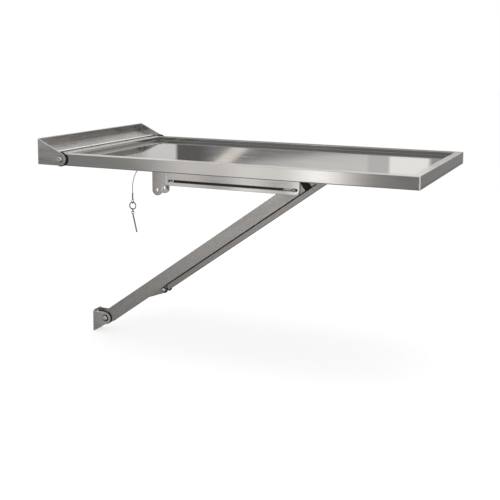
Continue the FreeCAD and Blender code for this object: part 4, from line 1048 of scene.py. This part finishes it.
@dataclass
class Fasteners:
    """Trim of the pivot bolts: thread crests, nylon rings in the nuts and black rings round the
    heads as painted shade.
    """

    rings: Recipe
    pitch: float = 0.75 * MM
    crest: float = 0.24 * MM
    nylon: float = 0.6 * MM
    apart: float = 1.0 * MM

    def trim(self, name: str, radius: float, ends: list[tuple[Point, Point]], body: str) -> None:
        """Add the thread crests and nylon rings of one size of fastener.

        Args:
            name: prefix of the pieces' names.
            radius: the thread's radius, in millimetres.
            ends: the middle of each nut's free face and the way out of it.
            body: the body that carries them.
        """
        base = point_mesh(name + "_ends", ends)
        self.rings.make(
            name + "_thread_crests", base, BRIGHT_HARDWARE, body, radius=(radius - 0.05) * MM,
            thickness=self.crest, pitch=self.pitch, turns=2)
        self.rings.make(
            name + "_nylon_rings", base, NYLON, body, radius=(radius + 1.0) * MM,
            thickness=self.nylon, pitch=self.apart, turns=1)

    def shade_rings(self, name: str, head: float, thick: float, seats: list[tuple[Point, Point]],
                body: str) -> None:
        """Add black rings round the bolt heads: painted shade round them.

        Args:
            name: prefix of the piece's name.
            head: the heads' radius, in millimetres.
            thick: the rings' thickness, in millimetres.
            seats: the middle of each head's seat and the way out of it.
            body: the body that carries them.
        """
        # The black torus rings round the heads stand in for shade: painted shade.
        self.rings.make(
            name + "_head_shade_rings", point_mesh(name + "_seats", seats), BLACK_PLASTIC, body,
            radius=(head + thick / 2.0 - 0.2) * MM, thickness=thick / 2.0 * MM,
            pitch=self.apart, turns=1)


@dataclass
class WallBrackets:
    """Upper bracket with its apron, lower bracket, and the hardware of their pivots."""

    nodes: Nodes
    beads: Recipe
    fasteners: Fasteners
    hinge_nut_end: float = 285.2
    foot_nut_end: float = 35.0
    foot_outside: float = 25.0
    ear_outside: float = 313.0
    thread: float = 5.0
    head: float = 8.75
    hem: Pair = (56.4, 1.8)
    hem_radius: float = 3.0
    hem_end: float = 309.4
    hem_steps: int = 40
    apron_rear: Pair = (3.0, 17.0)
    apron_front: Pair = (57.0, 3.0)
    seam_side: float = 309.6
    stitches: tuple[Pair, ...] = ((0.15, 0.4), (0.62, 0.87))

    def build(self) -> None:
        """Dress the brackets and add their welds and trim."""
        dress(self.nodes, PLATE_SHEET, "upper_wall_bracket", "lower_wall_bracket")
        dress(self.nodes, BRACKET_SHEET, "rear_apron")
        dress(self.nodes, BRIGHT_HARDWARE, "table_pivot_bolts", "table_pivot_nuts",
              "lower_pivot_bolt", "lower_pivot_nut")
        dress(self.nodes, BLACK_PLASTIC, "table_pivot_spacers", "lower_pivot_spacers")
        self.welds()
        self.rolled_edge()
        x, z = HINGE
        ends = [((x, side * self.hinge_nut_end, z), (0.0, -side, 0.0)) for side in SIDES]
        self.fasteners.trim("table_pivot", self.thread, ends, "wall_mount")
        seats = [((x, side * self.ear_outside, z), (0.0, side, 0.0)) for side in SIDES]
        self.fasteners.shade_rings("table_pivot", self.head, 1.6, seats, "wall_mount")
        x, z = FOOT
        self.fasteners.trim("lower_pivot", self.thread,
                            [((x, self.foot_nut_end, z), (0.0, 1.0, 0.0))], "wall_mount")
        self.fasteners.shade_rings("lower_pivot", self.head, 3.6,
                               [((x, -self.foot_outside, z), (0.0, -1.0, 0.0))], "wall_mount")

    def rolled_edge(self) -> None:
        """Roll the apron's front edge."""
        x, z = self.hem
        line = [Vector((x, self.hem_end * (2.0 * index / self.hem_steps - 1.0), z)) * MM
                for index in range(self.hem_steps + 1)]
        shell = sweep(line, self.hem_radius * MM, corners=20)
        # The near-white finish paints a highlight along the hem.
        joined("apron_rolled_edge", [shell], ROLLED_EDGE_HIGHLIGHT, "wall_mount")

    def welds(self) -> None:
        """Lay the beads that hold the apron between the ears."""
        (x0, z0), (x1, z1) = self.apron_rear, self.apron_front
        seams = [tuple((x0 + (x1 - x0) * share, side * self.seam_side, z0 + (z1 - z0) * share)
                       for share in stitch)
                 for side in SIDES for stitch in self.stitches]
        self.beads.make("apron_welds", edge_mesh("apron_seams", seams), WELD_BEAD,
                                "wall_mount", ripple=1.3 * MM, width=3.0 * MM)


@dataclass
class TableTop:
    """Folded tray, its spine, stiffeners, slide rail and lock bracket."""

    nodes: Nodes
    beads: Recipe
    seam_height: float = -15.0
    spine_seam: float = 60.5
    spine_span: Pair = (240.0, 1150.0)
    stitch: float = 25.0
    stitches: int = 7
    stiffeners: Point = (300.0, 675.0, 1050.0)
    stiffener_seam: float = 20.5
    stiffener_stitches: Point = (100.0, 180.0, 255.0)
    web_seam: Pair = (-17.0, -33.0)
    low_seam: float = -34.4
    low_stitch: float = 12.0
    boss_seam: float = 14.6
    boss_side: float = 303.0
    boss_steps: int = 24
    corners: Point = (69.2, 1217.8, 303.8)
    skirt: Pair = (-2.0, -36.5)

    def build(self) -> None:
        """Dress the table's top and add its welds."""
        dress(self.nodes, TRAY_SHEET, "tray_top")
        dress(self.nodes, RAIL_SECTION, "spine_channel", "slide_rail", "lock_bracket")
        dress(self.nodes, BRACKET_SHEET, "cross_stiffeners")
        dress(self.nodes, BRIGHT_HARDWARE, "pivot_bosses", "rail_bolts", "rail_nuts",
              "lock_bracket_bolts", "lock_bracket_nuts", "lanyard_screw")
        seams = self.spine_seams() + self.stiffener_seams() + self.boss_seams()
        self.beads.make("top_welds", edge_mesh("top_seams", seams), WELD_BEAD,
                                "table_top", ripple=1.6 * MM, width=4.0 * MM)
        self.beads.make("corner_welds", edge_mesh("corner_seams", self.corner_seams()),
                                POLISHED_WELD, "table_top", ripple=0.8 * MM, width=4.6 * MM)

    def corner_seams(self) -> list[Seam]:
        """Polished seams up the four corners of the skirt."""
        rear, front, half = self.corners
        return [tuple((x, side * half, z) for z in self.skirt)
                for x in (rear, front) for side in SIDES]

    def spine_seams(self) -> list[Seam]:
        """Stitches along both webs of the spine."""
        rear, front = self.spine_span
        step = (front - rear - 2.0 * self.stitch) / (self.stitches - 1)
        middles = [rear + self.stitch + index * step for index in range(self.stitches)]
        return [tuple((middle + end * self.stitch / 2, side * self.spine_seam, self.seam_height)
                      for end in SIDES)
                for side in SIDES for middle in middles]

    def stiffener_seams(self) -> list[Seam]:
        """Stitches along the stiffeners' webs and round their ends on the spine."""
        seams = []
        for middle in self.stiffeners:
            for side in SIDES:
                y = side * self.spine_seam
                for edge in SIDES:
                    x = middle + edge * self.stiffener_seam
                    seams += [tuple((x, side * (along + end * self.stitch / 2),
                                     self.seam_height) for end in SIDES)
                              for along in self.stiffener_stitches]
                    seams.append(tuple((x, y, z) for z in self.web_seam))
                seams.append(tuple((middle + end * self.low_stitch, y, self.low_seam)
                                   for end in SIDES))
        return seams

    def boss_seams(self) -> list[Seam]:
        """Rings round the hinge bosses on the inside of the skirt."""
        x, z = HINGE
        seams = []
        for side in SIDES:
            ring = [(x + self.boss_seam * math.cos(angle), side * self.boss_side,
                     z + self.boss_seam * math.sin(angle))
                    for angle in round_angles(self.boss_steps)]
            seams.append((*ring, ring[0]))
        return seams


@dataclass
class Strut:
    """Square strut with its clevis, end block and bushes, and the latch that hangs from it."""

    nodes: Nodes
    beads: Recipe
    fasteners: Fasteners
    half: float = 19.0
    latch: Pair = (263.0, -31.5)
    latch_thread: float = 4.0
    latch_nut_end: float = 27.0
    latch_head: float = 7.0
    clevis_stitches: tuple[Pair, ...] = ((200.0, 222.0), (252.0, 274.0))
    clevis_seam: Pair = (19.2, -22.3)
    coil_radius: float = 5.75
    coil_wire: float = 0.5
    coil_length: float = 18.2
    coil_pitch: float = 2.1
    coil_steps: int = 20
    legs: Pair = (15.0, -12.0)
    leg_rise: float = 0.8

    @staticmethod
    def place(along: float, across: float, above: float) -> Vector:
        """Place of a point given in the strut's own frame, in millimetres."""
        slope = math.radians(STRUT_SLOPE)
        return Vector((FOOT[0] + along * math.cos(slope) - above * math.sin(slope), across,
                       FOOT[1] + along * math.sin(slope) + above * math.cos(slope)))

    def build(self) -> None:
        """Dress the strut and the latch, and add the clevis welds, trim and spring."""
        dress(self.nodes, STRUT_SECTION, "strut_tube")
        dress(self.nodes, LATCH_SECTION, "latch_bar", "latch_clevis", "latch_foot")
        dress(self.nodes, BRIGHT_HARDWARE, "strut_foot_bush", "strut_head_sleeve", "latch_bush",
              "latch_pivot_bolt", "latch_pivot_nut", "latch_foot_bolt", "latch_foot_nut")
        dress(self.nodes, PIN_WIRE, "slide_pins", "slide_washers")
        dress(self.nodes, BLACK_PLASTIC, "strut_end_block", "latch_spacers", "slide_spacers")
        self.welds()
        self.spring()
        x, _, z = self.place(self.latch[0], 0.0, self.latch[1])
        self.fasteners.trim("latch_pivot", self.latch_thread,
                            [((x, self.latch_nut_end, z), (0.0, 1.0, 0.0))], "strut")
        self.fasteners.shade_rings("latch_pivot", self.latch_head, 3.6,
                               [((x, -self.half, z), (0.0, -1.0, 0.0))], "strut")

    def welds(self) -> None:
        """Lay the beads that hold the clevis under the strut."""
        across, above = self.clevis_seam
        seams = [tuple(tuple(self.place(along, side * across, above)) for along in stitch)
                 for side in SIDES for stitch in self.clevis_stitches]
        self.beads.make("clevis_welds", edge_mesh("clevis_seams", seams), WELD_BEAD,
                                "strut", ripple=1.2 * MM, width=2.2 * MM)

    def spring(self) -> None:
        """Wind the latch's torsion spring, with a leg in the bar and a leg on the clevis."""
        along, below = self.latch
        radius = self.coil_radius
        wound = self.coil_length - 2.0 * self.coil_wire
        turns = int(wound / (self.coil_pitch * self.coil_wire)) + 0.5
        steps = int(turns * self.coil_steps)
        line = [self.place(along + self.legs[0], -wound / 2, below - radius)]
        for index in range(steps + 1):
            share = index / steps
            angle = -math.pi / 2 - share * turns * 2.0 * math.pi
            line.append(self.place(along + radius * math.cos(angle), wound * (share - 0.5),
                                   below + radius * math.sin(angle)))
        line.append(self.place(along + self.legs[1], wound / 2, below + radius + self.leg_rise))
        shell = sweep([point * MM for point in line], self.coil_wire * MM)
        piece = joined("latch_spring_coils", [shell], SPRING_WIRE, "strut")
        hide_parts("latch_spring")


@dataclass
class Lanyard:
    """Wire rope with its eye, the split ring, the link and the lock pin."""

    nodes: Nodes
    route: tuple[Pair, ...] = (
        (0.2330, -0.05895), (0.2160, -0.06445), (0.1995, -0.0725), (0.1877, -0.0830),
        (0.1773, -0.1000), (0.1712, -0.1205), (0.1690, -0.1410), (0.1690, -0.1610))
    route_detail: int = 24
    route_step: float = 0.7 * MM
    across: float = -0.0287
    radius: float = 1.25 * MM
    length: float = 0.1336
    lay: float = 13.0 * MM
    strands: int = 6
    hang: float = 0.169
    sleeve: Pair = (-0.1610, -0.1825)
    sleeve_radius: float = 2.6 * MM
    sleeve_corners: int = 24
    sleeve_steps: int = 40
    sleeve_rounding: float = 0.3 * MM
    sleeve_mouth: float = 0.6
    bands: Pair = (0.3, 0.7)
    band_width: float = 0.07
    band_depth: float = 0.35 * MM
    band_flats: Pair = (6.0, 0.06)
    eye_radius: float = 6.5 * MM
    eye_middle: float = -0.18965
    eye_steps: int = 60
    ring_middle: float = -0.2045
    ring_radius: float = 12.0 * MM
    ring_wire: float = 0.9 * MM
    ring_flat: float = 0.9
    ring_gap: float = 0.3
    ring_steps: int = 150
    pieces: list[bpy.types.Object] = field(default_factory=list)

    def centreline(self) -> list[Vector]:
        """Read the rope's line from its NURBS spline, in even steps."""
        curve = bpy.data.curves.new("rope_route", "CURVE")
        curve.dimensions = "3D"
        spline = curve.splines.new("NURBS")
        spline.points.add(len(self.route) - 1)
        for point, (x, z) in zip(spline.points, self.route):
            point.co = (x, self.across, z, 1.0)
        spline.order_u = 3
        spline.use_endpoint_u = True
        spline.resolution_u = self.route_detail
        holder = new_object("rope_route", curve)
        mesh = evaluated(holder)
        line = [vertex.co.copy() for vertex in mesh.vertices]
        bpy.data.objects.remove(holder)
        bpy.data.meshes.remove(mesh)
        return self.even(line, self.route_step)

    @staticmethod
    def even(line: list[Vector], step: float) -> list[Vector]:
        """Read points in even steps along a line.

        Args:
            line: the line's points.
            step: about how far apart the new points are.

        Returns:
            The new points, from end to end.
        """
        reach = [0.0]
        for before, after in zip(line, line[1:]):
            reach.append(reach[-1] + (after - before).length)
        count = round(reach[-1] / step)
        points = []
        place = 0
        for index in range(count + 1):
            wanted = reach[-1] * index / count
            while place < len(line) - 2 and reach[place + 1] < wanted:
                place += 1
            share = (wanted - reach[place]) / (reach[place + 1] - reach[place])
            points.append(line[place].lerp(line[place + 1], share))
        return points

    def build(self) -> None:
        """Make the rope and what hangs on it."""
        dress(self.nodes, PIN_WIRE, "lanyard_lug", "pin_link", "lock_pin")
        self.eye()
        self.crimp()
        self.split_ring()
        line = self.centreline()
        rope = joined("lanyard_rope", stranded(line, self.radius, self.strands, self.lay),
                      ROPE_WIRE, "lanyard")
        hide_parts("lanyard_wire")

    def eye(self) -> None:
        """Bend the rope's end into the eye below the sleeve."""
        line = [Vector((self.hang, self.across + self.eye_radius * math.sin(angle),
                        self.eye_middle + self.eye_radius * math.cos(angle)))
                for angle in round_angles(self.eye_steps)]
        piece = joined("rope_eye", stranded(line, self.radius, self.strands, self.lay, True),
                       ROPE_WIRE, "lanyard")
        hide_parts("lanyard_eye")
        self.pieces.append(piece)

    def crimp(self) -> None:
        """Turn the sleeve from its foot up, and press two bands into it."""
        top, bottom = self.sleeve
        flats, flat_depth = self.band_flats
        shares = [1.0 - index / self.sleeve_steps for index in range(self.sleeve_steps + 1)]
        rings = []
        for index, share in enumerate([1.0, *shares, 0.0]):
            band = max(math.exp(-((share - place) / self.band_width) ** 4) for place in self.bands)
            radius = self.sleeve_radius - self.band_depth * band
            if index in (0, self.sleeve_steps + 2):
                radius = self.sleeve_mouth * self.sleeve_radius
            elif index in (1, self.sleeve_steps + 1):
                radius = self.sleeve_radius - self.sleeve_rounding
            ring = []
            for angle in round_angles(self.sleeve_corners):
                reach = radius * (1.0 - flat_depth * band * math.cos(flats * angle))
                ring.append(Vector((self.hang + reach * math.cos(angle),
                                    self.across + reach * math.sin(angle),
                                    top + (bottom - top) * share)))
            rings.append(ring)
        piece = joined("crimp_sleeve", [skinned(rings)], PIN_WIRE, "lanyard")
        self.pieces.append(piece)

    def split_ring(self) -> None:
        """Wind the split ring's two turns, with the step between them."""
        gap = self.ring_gap
        line = []
        for index in range(self.ring_steps + 1):
            angle = gap + (4.0 * math.pi - 2.0 * gap) * index / self.ring_steps
            ease = min(1.0, max(0.0, (angle - 2.0 * math.pi + gap) / (2.0 * gap)))
            ease = ease * ease * (3.0 - 2.0 * ease)
            line.append(Vector((self.hang + self.ring_radius * math.cos(angle),
                                self.across + self.ring_wire * (2.0 * ease - 1.0),
                                self.ring_middle + self.ring_radius * math.sin(angle))))
        vertices, faces = sweep(line, self.ring_wire, corners=12)
        for vertex in vertices:
            out = Vector((vertex.x - self.hang, 0.0, vertex.z - self.ring_middle))
            vertex += out.normalized() * (out.length - self.ring_radius) * self.ring_flat
        piece = joined("split_ring_coil", [(vertices, faces)], PIN_WIRE, "lock_pin_set")
        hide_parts("split_ring")
        self.pieces.append(piece)


def main() -> None:
    """Build the scene."""
    logging.basicConfig(level=logging.INFO, format="%(message)s")
    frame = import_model()
    nodes = frame["nodes"]
    Camera().build()
    Lanyard(nodes).build()
    beads = bead_recipe()
    fasteners = Fasteners(thread_recipe())
    WallBrackets(nodes, beads, fasteners).build()
    TableTop(nodes, beads).build()
    Strut(nodes, beads, fasteners).build()
    Studio().build()


if __name__ == "__main__":
    main()
